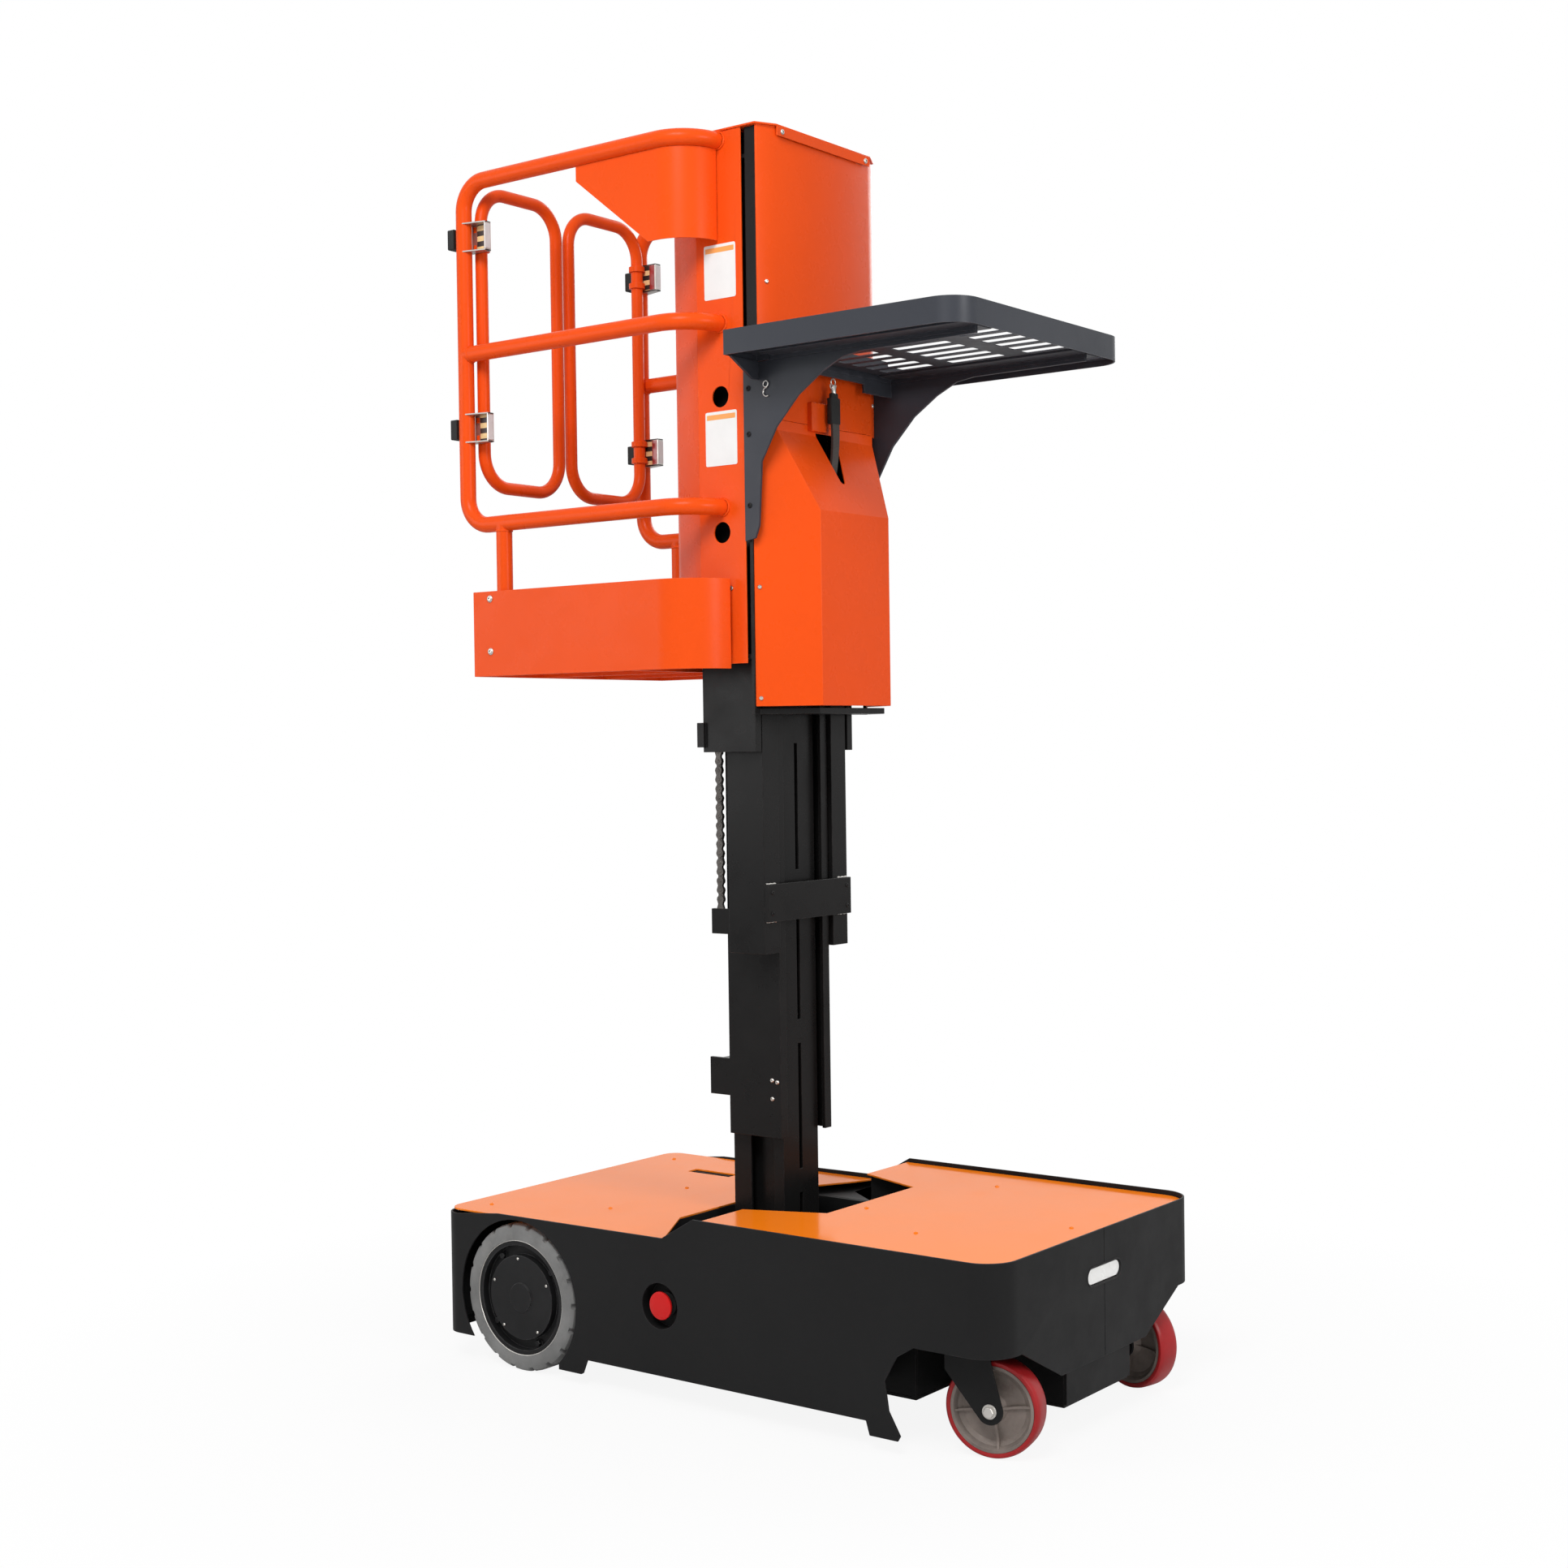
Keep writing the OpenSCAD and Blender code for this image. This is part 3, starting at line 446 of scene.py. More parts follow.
def tube(path, radius, sides=10, closed=False):
    """Round tube along a path of points."""
    path = [Vector(p) for p in path]
    n = len(path)
    verts = []
    faces = []
    side = None
    for k, p in enumerate(path):
        before = path[k - 1] if (k > 0 or closed) else p
        after = path[(k + 1) % n] if (k < n - 1 or closed) else p
        along = (after - before).normalized()
        if side is None:
            side = along.orthogonal().normalized()
        side = (side - along*side.dot(along)).normalized()
        up = along.cross(side)
        for j in range(sides):
            a = 2*math.pi*j/sides
            verts.append(p + side*math.cos(a)*radius + up*math.sin(a)*radius)
    for k in range(n if closed else n - 1):
        m = (k + 1) % n
        for j in range(sides):
            i = (j + 1) % sides
            faces.append((k*sides + j, k*sides + i, m*sides + i, m*sides + j))
    if not closed:
        faces.append(tuple(reversed(range(sides))))
        faces.append(tuple((n - 1)*sides + j for j in range(sides)))
    return verts, faces


def arc_points(centre, a_axis, b_axis, radius, start, end, steps):
    """Points on an arc in the plane of two axes."""
    c = Vector(centre)
    points = []
    for k in range(steps + 1):
        t = math.radians(start + (end - start)*k/steps)
        points.append(c + Vector(a_axis)*radius*math.cos(t) + Vector(b_axis)*radius*math.sin(t))
    return points


def dome_screw(mesh, at, normal, r, h):
    """Button-head screw with a socket."""
    turn = facing(normal, at)
    verts, faces = lathe([(r, 0), (r, h*0.35), (r*0.85, h*0.75), (r*0.62, h), (r*0.45, h)], 18)
    mesh.add(verts, faces[:-1], turn)
    verts, faces = lathe([(r*0.45, h), (r*0.42, h*0.35)], 18)
    mesh.add(verts, faces[:-2] + [faces[-1]], turn)


def hex_bolt(mesh, at, normal, across, height, washer, collar=0.0014):
    """Hexagon head with chamfered corners on a washer."""
    turn = facing(normal, at)
    rim = [(washer, 0), (washer, collar*0.8), (washer - 0.0004, collar), (across*0.4, collar)]
    mesh.add(*lathe(rim, 24), turn)
    r = across/2/math.cos(math.pi/6)
    head = [(r, collar), (r, height - 0.0012), (r*0.86, height), (r*0.4, height)]
    mesh.add(*lathe(head, 6), turn)


# Finish of the CAD pieces: soft edges and their materials

def edge_group():
    """Geometry nodes that drop imported custom normals and shade smooth below an edge angle."""
    group = bpy.data.node_groups.new("soft_edges", "GeometryNodeTree")
    group.interface.new_socket("Geometry", in_out="INPUT", socket_type="NodeSocketGeometry")
    group.interface.new_socket("Geometry", in_out="OUTPUT", socket_type="NodeSocketGeometry")
    nodes = group.nodes
    links = group.links
    start = nodes.new("NodeGroupInput")
    end = nodes.new("NodeGroupOutput")
    remove = nodes.new("GeometryNodeRemoveAttribute")
    remove.inputs["Name"].default_value = "custom_normal"
    angle = nodes.new("GeometryNodeInputMeshEdgeAngle")
    compare = nodes.new("FunctionNodeCompare")
    compare.data_type = "FLOAT"
    compare.operation = "LESS_THAN"
    compare.inputs["B"].default_value = math.radians(32)
    edges = nodes.new("GeometryNodeSetShadeSmooth")
    edges.domain = "EDGE"
    faces = nodes.new("GeometryNodeSetShadeSmooth")
    links.new(start.outputs[0], remove.inputs["Geometry"])
    links.new(angle.outputs["Unsigned Angle"], compare.inputs["A"])
    links.new(remove.outputs["Geometry"], edges.inputs["Geometry"])
    links.new(compare.outputs["Result"], edges.inputs["Shade Smooth"])
    links.new(edges.outputs["Geometry"], faces.inputs["Geometry"])
    links.new(faces.outputs["Geometry"], end.inputs[0])
    return group


EDGES = edge_group()
CAD_FINISH = {name: MAST_BLACK for name in MAST_NODES}
CAD_FINISH["tray_brackets"] = MATERIALS["tray_paint"]
BEVELS = {"lanyard": 0.0004, "console": 0.0006}
DEFAULT_BEVEL = 0.001


def dress_cad():
    """Gives every CAD node its material and soft edges."""
    slots = {s["node"]: s["material_slot"] for s in frame["record"]["subparts"]}
    for name, obj in NODES.items():
        obj.data.materials.clear()
        obj.data.materials.append(CAD_FINISH.get(name, MATERIALS[slots[name]]))
        weld = obj.modifiers.new("weld", "WELD")
        weld.merge_threshold = 0.00002
        flat = obj.modifiers.new("flat", "DECIMATE")
        flat.decimate_type = "DISSOLVE"
        flat.angle_limit = math.radians(0.4)
        smooth = obj.modifiers.new("smooth", "NODES")
        smooth.node_group = EDGES
        bevel = soften(obj, BEVELS.get(name, DEFAULT_BEVEL), 2, 38.0)
        bevel.use_clamp_overlap = False


# Wheels

def side_name(side):
    return "right" if side < 0 else "left"


def drive_matrix(side):
    """Wheel frame with +Z out of the truck on that side."""
    return facing((0, side, 0), (DRIVE_AT.x, side*DRIVE_AT.y, DRIVE_AT.z))


def drive_tyre(side):
    """Solid tyre with rounded shoulders and notched edges."""
    r = DRIVE_R
    w = DRIVE_HALF_W
    notches = 18
    steps_per_notch = 12
    notch_steps = 2
    notch_depth = 0.0065
    half = [(0.119, w), (0.126, w), (0.130, w), (0.143, w - 0.001), (0.149, w - 0.004),
            (r - 0.0008, w - 0.009), (r, w - 0.014), (r, 0.006)]
    profile = [(rr, -z) for rr, z in half] + half[::-1] + [(0.119, -w)]

    def radius_at(k, rr, z):
        shoulder = rr > 0.1485 and abs(z) > w - 0.0145
        return rr - notch_depth if shoulder and k % steps_per_notch < notch_steps else rr

    verts, faces = lathe(profile, notches*steps_per_notch, radius_at)
    name = "drive_tread_" + side_name(side)
    obj = piece(name, verts, faces, "drive_tyre", "drive_wheel_" + side_name(side),
                34.0, drive_matrix(side))
    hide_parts("drive_tyre_" + side_name(side))


def hub_details(side):
    """Bright rim edge, small cover screws and the bolts that hold the rim."""
    turn = drive_matrix(side)
    name = side_name(side)
    body = "drive_wheel_" + name
    lip = Mesh()
    ring = arc_points((0, 0, 0.0352), (1, 0, 0), (0, 1, 0), 0.1183, 0, 360, 96)[:-1]
    lip.add(*tube([turn @ p for p in ring], 0.0012, 8, closed=True))
    lip.make("rim_lip_" + name, "bright_plate", body, "rim_black")

    def on_circle(radius, degrees, height):
        a = math.radians(degrees)
        return turn @ Vector((radius*math.cos(a), radius*math.sin(a), height))

    screws = Mesh()
    for degrees in (25, 95, 160, 232, 305):
        dome_screw(screws, on_circle(0.080, degrees, 0.033), (0, side, 0), 0.0032, 0.0022)
    screws.make("hub_screws_" + name, "bright_plate", body, "rim_black")
    bolts = Mesh()
    for degrees in (38, 128, 218, 292):
        hex_bolt(bolts, on_circle(0.0985, degrees, 0.0171), (0, side, 0), 0.012, 0.009, 0.0085)
    bolts.make("rim_bolts_" + name, "rim_black", body, "rim_black")


def caster_swivel(side):
    """Frame of a caster's fork: its origin on the floor under the swivel, +X along the trail."""
    return moved(CASTER_AT.x, side*CASTER_AT.y, 0) @ Matrix.Rotation(CASTER_TURNS[side], 4, "Z")


def caster_matrix(side):
    """Caster wheel frame with +Z out of the truck on that side."""
    return caster_swivel(side) @ facing((0, side, 0), (CASTER_TRAIL, 0, CASTER_R))


def caster_wheel(side):
    """Moulded tread on a cast, bowl-shaped core with ribs."""
    name = side_name(side)
    body = "caster_wheel_" + name
    turn = caster_matrix(side)
    r = CASTER_R
    w = CASTER_HALF_W
    half = [(0.0792, w - 0.002), (0.083, w - 0.0004), (0.0862, w - 0.0012), (0.0885, w - 0.0045),
            (r - 0.0003, w - 0.010), (r, 0.004)]
    profile = [(rr, -z) for rr, z in half] + half[::-1] + [(0.0792, -w + 0.002)]
    verts, faces = lathe(profile, 96)
    tread = piece("caster_tread_" + name, verts, faces, "caster_tread", body, 40.0, turn)
    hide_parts("caster_tyre_" + name)
    bowl = [(0.0068, -0.0298), (0.017, -0.0298), (0.0185, -0.028), (0.0195, -0.020), (0.026, -0.012),
            (0.045, -0.0075), (0.060, -0.0085), (0.068, -0.014), (0.0715, -0.0215), (0.0735, -0.0238),
            (0.0788, -0.0238)]
    profile = bowl + [(rr, -z) for rr, z in reversed(bowl)] + [bowl[0]]
    rib = [(0.018, 0.0235), (0.024, 0.0188), (0.045, 0.0145), (0.062, 0.0155), (0.0712, 0.0215),
           (0.0712, 0.006), (0.045, 0.006), (0.018, 0.012)]
    core = Mesh()
    core.add(*lathe(profile, 72), turn)
    for k in range(4):
        a = math.radians(90*k + 8)
        c, s = math.cos(a), math.sin(a)
        for face in (-1, 1):
            verts = [(rr*c - t*s, rr*s + t*c, face*z) for t in (-0.0022, 0.0022) for rr, z in rib]
            core.add(verts, prism_faces(len(rib)), turn)
    obj = core.make("caster_casting_" + name, "core_iron", body, "core_iron", 30.0)
    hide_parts("caster_core_" + name)
    nuts = Mesh()
    normal = (turn.to_3x3() @ Vector((0, 0, 1))).normalized()
    for end in (1, -1):
        hex_bolt(nuts, turn @ Vector((0, 0, end*0.0372)), end*normal, 0.0185, 0.0092, 0.0135, 0.002)
    nuts.make("caster_axle_nuts_" + name, "bright_plate", "caster_" + name, "black_steel")


def caster_fork(side):
    """Pressed fork: race, top plate, two legs with round ends and the axle."""
    name = side_name(side)
    turn = caster_swivel(side)
    gap = 0.032
    sheet = 0.005
    half = gap + sheet
    fork = Mesh()
    for radius, low, high in ((0.042, 0.204, 0.214), (0.032, 0.195, 0.204)):
        fork.add(*lathe([(radius, 0), (radius, high - low)], 40), turn @ moved(0, 0, low))
    fork.add(*block((-0.040, -half, 0.189), (0.046, half, 0.1952)), turn)
    foot = arc_points((CASTER_TRAIL, 0, CASTER_R), (1, 0, 0), (0, 0, 1), 0.025, 218, 374, 16)
    leg = [(-0.040, 0.190), (-0.040, 0.158)] + [(p.x, p.z) for p in foot] + [(0.052, 0.160), (0.046, 0.190)]
    for y in (-gap, half):
        fork.add(*plate(leg, sheet), turn @ upright(y))
    fork.add(*lathe([(0.006, -gap), (0.006, gap)], 20), caster_matrix(side))
    obj = fork.make("caster_bracket_" + name, "black_steel", "caster_" + name, "black_steel")
    soften(obj, 0.0012)
    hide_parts("caster_fork_" + name)


# Chassis details

def stop_button():
    """Domed mushroom head on its collar, on the right side."""
    turn = facing((0, -1, 0), (-0.088, -0.371, 0.193))
    head = Mesh()
    profile = [(0.013, -0.018), (0.013, -0.006), (0.0235, -0.0045), (0.0268, -0.003), (0.028, -0.0005),
               (0.0272, 0.0022), (0.0225, 0.0034), (0.012, 0.0039)]
    head.add(*lathe(profile, 48), turn)
    obj = head.make("stop_button", "red_button", "chassis", "red_button", 50.0)
    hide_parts("emergency_stop")
    collar = Mesh()
    ring = [(0.0135, -0.0238), (0.024, -0.0238), (0.024, -0.018), (0.0215, -0.016), (0.0135, -0.016),
            (0.0135, -0.0238)]
    collar.add(*lathe(ring, 48), turn)
    collar.make("stop_collar", RUBBER, "chassis", "black_steel", 40.0)


def deck_fixings():
    """Screws through both decks, standing just proud of the sheet."""
    screws = Mesh()
    rear = ((-0.38, -0.19), (-0.38, 0.06), (-0.62, -0.30), (-0.62, 0.30))
    front = ((0.195, -0.07), (0.40, -0.20), (0.30, 0.25), (0.62, 0.0))
    for places, top in ((rear, REAR_DECK_TOP), (front, FRONT_DECK_TOP)):
        for x, y in places:
            dome_screw(screws, (x, y, top), (0, 0, 1), 0.0045, 0.0022)
    screws.make("deck_screws", "deck_paint", "chassis", "deck_paint")


def lamp_lip():
    """Pressed lip round the lamp's slot."""
    outline = rounded_rect(0.127, 0.036, 0.0179, 10)
    lip = Mesh()
    lip.add(*tube([(0.6893, y, LAMP_HEIGHT + z) for y, z in outline], 0.0019, 8, closed=True))
    lip.make("lamp_lip", "black_steel", "chassis", "black_steel")


# Mast details

def chain_links():
    """Leaf chain: alternate figure-of-eight plates on pins."""
    pitch = 0.019
    count = 42
    low = 0.951
    x_chain = -0.143
    y_chain = 0.097
    eye_r = 0.00897
    eye_z = 0.00912
    waist = 0.00575
    sheet = 0.0016
    outline = []
    for start, end_z, waist_x in ((0, eye_z, -waist), (180, -eye_z, waist)):
        eye = arc_points((0, end_z, 0), (1, 0, 0), (0, 1, 0), eye_r, start, start + 180, 6)
        outline += [(p.x, p.y) for p in eye] + [(waist_x, 0)]
    chain = Mesh()
    for side in (-1, 1):
        for k in range(count):
            z = low + pitch*(k + 0.5)
            offsets = (-0.0035, 0.0005) if k % 2 else (-0.0015, 0.0025)
            for dy in offsets:
                verts = [(x_chain + x, side*(y_chain + dy + t), z + y)
                         for t in (0.0, sheet) for x, y in outline]
                chain.add(verts, prism_faces(len(outline)))
        for k in range(count + 1):
            pin = lathe([(0.0036, 0), (0.0036, 0.0088), (0.0028, 0.0094)], 10)
            chain.add(*pin, facing((0, side, 0), (x_chain, side*0.0925, low + pitch*k)))
    obj = chain.make("lift_chain_links", "chain_steel", "stage_c", "chain_steel", 30.0)
    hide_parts("lift_chain")


def mast_fixings():
    """Screws on the second section's sides and on the cross bar."""
    low = Mesh()
    bar = Mesh()
    for side in (-1, 1):
        for x, z in ((-0.012, 0.600), (-0.025, 0.603), (-0.025, 0.565)):
            dome_screw(low, (x, side*0.086, z), (0, side, 0), 0.0048, 0.003)
        for z in (0.948, 0.990):
            dome_screw(bar, (0.015, side*0.128, z), (1, 0, 0), 0.0045, 0.0025)
    low.make("stage_b_screws", "bright_plate", "stage_b", "black_steel")
    bar.make("stage_c_screws", "black_steel", "stage_c", "black_steel")


# Platform details

def weld_beads():
    """Beads where the rails meet the column and the posts."""
    beads = Mesh()

    def ring(at, normal, radius):
        turn = facing(normal, at)
        points = []
        steps = 40
        for k in range(steps):
            a = 2*math.pi*k/steps
            uneven = radius*(1 + 0.02*math.sin(9*a) + 0.012*math.sin(23*a))
            points.append(turn @ Vector((uneven*math.cos(a), uneven*math.sin(a), 0)))
        beads.add(*tube(points, 0.0022, 6, closed=True))

    for side in (-1, 1):
        for z in RAIL_HEIGHTS:
            ring((-0.042, side*0.2008, z), (0, side, 0), 0.0172)
        ring((POST_X + 0.0168, side*RAIL_Y, RAIL_HEIGHTS[1]), (1, 0, 0), 0.0168)
        ring((-0.565, side*RAIL_Y, RAIL_HEIGHTS[2] - 0.0168), (0, 0, 1), 0.0168)
        ring((-0.565, side*RAIL_Y, FLOOR_TOP + 0.001), (0, 0, 1), 0.0174)
    beads.make("weld_beads", "orange_paint", "platform", "orange_paint", 60.0)


def sheet_fixings():
    """Screws on the toe boards, lid, covers and tray brackets."""
    bright = Mesh()
    for side in (-1, 1):
        for z in (1.603, 1.492):
            dome_screw(bright, (-0.590, side*0.305, z), (0, side, 0), 0.0075, 0.004)
            dome_screw(bright, (-0.022, side*0.2005, 1.60), (0.3, side, 0), 0.0045, 0.003)
        dome_screw(bright, (0.0762, side*0.142, 2.497), (1, 0, 0), 0.0055, 0.003)
        for z in (2.20, 1.995):
            dome_screw(bright, (0.0600, side*0.1788, z), (0.91, side*0.42, 0), 0.0045, 0.003)
        for z in (1.600, 1.380):
            dome_screw(bright, (0.0370, side*0.1842, z), (0.55, side*0.84, 0), 0.0045, 0.003)
    bright.make("sheet_screws", "bright_plate", "platform", "orange_paint")
    dark = Mesh()
    for side in (-1, 1):
        for z in (1.99, 1.90, 1.76):
            dome_screw(dark, (0.030, side*0.203, z), (0, side, 0), 0.0055, 0.003)
    dark.make("bracket_screws", "black_steel", "platform", "black_steel")


def label(name, x, z, w, h):
    """Blank information label with a coloured heading band on the column's right side."""
    y = -COLUMN_FACE - 0.0001
    out = (0, -1, 0)
    base = Mesh()
    base.add(*plate(rounded_rect(w, h, 0.004), 0.0005), facing(out, (x, y, z)))
    base.make(name, LABEL_WHITE, "platform", "orange_paint")
    band = Mesh()
    band.add(*plate(rounded_rect(w - 0.008, 0.010, 0.001), 0.0008), facing(out, (x, y, z + h/2 - 0.011)))
    band.make(name + "_band", LABEL_AMBER, "platform", "orange_paint")


def gate_leaf(side):
    """Closed loop of bent tube."""
    name = side_name(side)
    low, high = GATE_HEIGHTS
    path = []
    for y, z, start in ((GATE_FREE_Y + GATE_BEND, high - GATE_BEND, 90),
                        (GATE_FREE_Y + GATE_BEND, low + GATE_BEND, 180),
                        (GATE_HINGE_Y - GATE_BEND, low + GATE_BEND, 270),
                        (GATE_HINGE_Y - GATE_BEND, high - GATE_BEND, 0)):
        path += arc_points((GATE_X, side*y, z), (0, side, 0), (0, 0, 1), GATE_BEND, start, start + 90, 14)
    leaf = Mesh()
    leaf.add(*tube(path, GATE_R, 28, closed=True))
    obj = leaf.make("gate_leaf_" + name, "orange_paint", "gate_" + name, "orange_paint", 50.0)
    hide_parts("gate_" + name)


def hinge_clips():
    """Open clips on the rear posts with hazard tape, a painted reflection of the orange paint and a white
    strip on them, rubber stops behind and rings round the stiles.
    """
    clips = Mesh()
    rings = Mesh()
    stops = Mesh()
    hinge_strips = {"hazard": Mesh(), "red": Mesh(), "white": Mesh()}
    front = HINGE_FRONT
    rear = -0.661
    wall = RAIL_Y - 0.018
    sheet = 0.003
    fold = 0.018
    ring_h = 0.012
    strip_height = 0.056
    strip_thickness = 0.0006
    round_post = arc_points((POST_X, -RAIL_Y, 0), (1, 0, 0), (0, 1, 0), POST_R, -60, 66, 10)
    flange = [(front, -wall), (front, -wall - fold)] + [(p.x, p.y) for p in round_post] + [(rear, -wall)]
    inner_r, outer_r = GATE_R + 0.0003, GATE_R + 0.005
    band = [(inner_r, 0), (outer_r, 0), (outer_r, ring_h), (inner_r, ring_h), (inner_r, 0)]
    for side in (-1, 1):
        turn = Matrix.Scale(-side, 4, (0, 1, 0))
        for z in HINGE_HEIGHTS:
            top = z + HINGE_H
            mid = z + HINGE_H/2
            clips.add(*block((rear, -wall - sheet, z), (front, -wall, top)), turn)
            clips.add(*block((front - sheet, -wall - fold, z), (front, -wall - sheet, top)), turn)
            for low in (z, top - sheet):
                clips.add(*plate(flange, sheet), turn @ moved(0, 0, low))
            for low in (z + 0.006, top - 0.006 - ring_h):
                rings.add(*lathe(band, 32), moved(GATE_X, side*GATE_HINGE_Y, low))
            stops.add(*plate(rounded_rect(0.030, 0.042, 0.002), 0.0182, 0.001),
                      facing((-1, 0, 0), (POST_X - POST_R + 0.0002, side*RAIL_Y, mid)))
            # Hazard tape, and beside it a strip that is a painted reflection of the orange paint on the
            # clip's metal, on both faces of the clip's wall.
            for key, x, width in (("hazard", -0.6355, 0.019), ("red", -0.6185, 0.014)):
                strip = plate(rounded_rect(width, strip_height, 0.001), strip_thickness)
                for out, y in ((side, wall + sheet), (-side, wall)):
                    hinge_strips[key].add(*strip, facing((0, out, 0), (x, side*y, mid)))
            # White strip on the clip's front fold.
            hinge_strips["white"].add(*plate(rounded_rect(0.015, 0.052, 0.001), strip_thickness),
                               facing((1, 0, 0), (front, side*(wall + fold/2 + 0.001), mid)))
    obj = clips.make("hinge_brackets", "bright_plate", "platform", "bright_plate")
    soften(obj, 0.0005, 1)
    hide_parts("gate_hinges")
    soften(rings.make("hinge_rings", "orange_paint", "platform", "orange_paint"), 0.0006)
    stops.make("hinge_stops", RUBBER, "platform", "bright_plate")
    # Hazard tape, the painted orange reflection and the white strip, each as its own object.
    for key, mat in (("hazard", HAZARD), ("red", PAINTED_ORANGE_REFLECTION), ("white", WHITE_STRIP)):
        hinge_strips[key].make("hinge_strip_" + key, mat, "platform", "bright_plate")


def tray_outline(inset):
    """Outline of the tray, cut back round the mast cover."""
    r = TRAY_CORNER - inset
    rear = TRAY_REAR + inset
    notch = TRAY_NOTCH + inset
    notch_half = TRAY_NOTCH_HALF + inset
    half = TRAY_HALF - inset
    cx = TRAY_FRONT - TRAY_CORNER
    cy = TRAY_HALF - TRAY_CORNER
    points = [(notch, -notch_half), (rear, -notch_half), (rear, -half)]
    points += [(p.x, p.y) for p in arc_points((cx, -cy, 0), (1, 0, 0), (0, 1, 0), r, -90, 0, 12)]
    points += [(p.x, p.y) for p in arc_points((cx, cy, 0), (1, 0, 0), (0, 1, 0), r, 0, 90, 12)]
    return points + [(rear, half), (rear, notch_half), (notch, notch_half)]


def slotted_tray():
    """Rim with its slotted floor set in above the lower edge."""
    tray = Mesh()
    sheet = 0.003
    tray.add(*holed_plate(tray_outline(0.0), [tray_outline(sheet)], TRAY_RIM), moved(0, 0, TRAY_LOW))
    count = 12
    pitch = 0.048
    slots = []
    for x, length in ((0.128, 0.120), (0.290, 0.128), (0.464, 0.100)):
        slot = rounded_rect(length, 0.030, 0.004, 3)
        for k in range(count):
            y = pitch*(k - (count - 1)/2)
            slots.append([(x + length/2 + u, y + v) for u, v in slot])
    tray.add(*holed_plate(tray_outline(sheet), slots, 0.002), moved(0, 0, TRAY_FLOOR))
    obj = tray.make("slotted_tray", "tray_paint", "platform", "tray_paint")
    soften(obj, 0.0007)
    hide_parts("tray")


def tray_flanges():
    """Flanges that carry the tray's floor on the brackets, and the gussets at its rear corners."""
    half = 0.003
    rear, front = 0.090, 0.560
    gusset_low = TRAY_LOW - 0.036
    gusset_y = -BRACKET_Y - half
    gusset = [(-0.290, TRAY_LOW), (-0.222, gusset_low), (gusset_y, gusset_low), (gusset_y, TRAY_LOW)]
    parts = Mesh()
    parts.add(*block((rear, -BRACKET_Y, TRAY_LOW), (rear + 2*half, BRACKET_Y, TRAY_FLOOR)))
    for side in (-1, 1):
        low, high = sorted((side*(BRACKET_Y - half), side*(BRACKET_Y + half)))
        parts.add(*block((0.084, low, TRAY_LOW), (front, high, TRAY_FLOOR)))
        low, high = sorted((side*0.150, side*0.245))
        parts.add(*block((rear, low, TRAY_FLOOR - 0.004), (front, high, TRAY_FLOOR)))
        turn = Matrix(((0, 0, 1, TRAY_REAR), (-side, 0, 0, 0), (0, 1, 0, 0), (0, 0, 0, 1)))
        parts.add(*plate(gusset, 2*half), turn)
    obj = parts.make("tray_flanges", "tray_paint", "platform", "black_steel")
    soften(obj, 0.0008)


def column_sheet():
    """Folded column behind the mast with its two lifting holes in each side."""
    sheet = 0.004
    low, high = COLUMN_LOW, COLUMN_TOP
    fold, front = COLUMN_FOLD, COLUMN_FRONT
    outer = [(fold, COLUMN_FACE), (-0.180, 0.165), (-0.199, 0.150)]
    inner = [(fold, COLUMN_FACE - sheet), (-0.1775, 0.162), (-0.195, 0.148)]
    back = [(x, -y) for x, y in outer] + outer[::-1] + inner + [(x, -y) for x, y in inner[::-1]]
    column = Mesh()
    column.add(*holed_plate(back, [], high - low), moved(0, 0, low))
    holes = []
    for z in COLUMN_HOLES:
        rim = arc_points((-0.044, 0, z), (1, 0, 0), (0, 0, 1), 0.021, 0, 360, 36)[:-1]
        holes.append([(p.x, p.z) for p in rim])
    side_plate = [(fold, low), (front, low), (front, high), (fold, high)]
    for y in (-COLUMN_FACE + sheet, COLUMN_FACE):
        column.add(*holed_plate(side_plate, holes, sheet), upright(y))
    obj = column.make("column_sheet", "orange_paint", "platform", "orange_paint")
    soften(obj, 0.0008)
    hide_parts("column")


def third_section():
    """Third mast section: two channels, slide pads, chain anchors and the bars across the front."""
    low = STAGE_C_LOW
    length = STAGE_C_H
    half = STAGE_C_HALF
    wall = 0.006
    rear, front, bar_front = -0.087, 0.005, 0.015
    inner = 0.091
    bar_low, bar_high = 0.065, 0.141
    channel = [(rear, half), (front, half), (front, inner), (rear, inner), (rear, inner + wall),
               (-0.003, inner + wall), (-0.003, half - wall), (rear, half - wall)]
    anchor = ((-0.165, inner + 0.012, 0.033), (rear, inner, 0.085))
    lower_pad = ((-0.060, inner, 0.100), (-0.030, 0.0863, 0.150))
    upper_pad = ((-0.070, 0.1568, length - 0.071), (-0.040, half, length - 0.021))
    mast = Mesh()
    for side in (-1, 1):
        mast.add(*holed_plate([(x, side*y) for x, y in channel], [], length), moved(0, 0, low))
        for a, b in (anchor, lower_pad, upper_pad):
            y0, y1 = sorted((side*a[1], side*b[1]))
            mast.add(*block((a[0], y0, low + a[2]), (b[0], y1, low + b[2])))
    for z0, z1 in ((bar_low, bar_high), (length - 0.099, length)):
        mast.add(*block((front, -half, low + z0), (bar_front, half, low + z1)))
    obj = mast.make("third_section", MAST_BLACK, "stage_c", "black_steel")
    soften(obj, 0.001)
    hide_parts("stage_c")
    # Weld beads along the cross bars' top and bottom edges at their ends, in bright metal: their bright
    # colour is a painted highlight on the bars' corners.
    weld_highlights = Mesh()
    for side in (-1, 1):
        for z in (low + bar_low, low + bar_high):
            path = [(0.0052, side*(0.138 - 0.004*k), z + 0.0006*math.sin(2.1*k)) for k in range(9)]
            weld_highlights.add(*tube(path, 0.0022, 8))
    weld_highlights.make("cross_bar_weld_highlights", "bright_plate", "stage_c", "black_steel", 60.0)


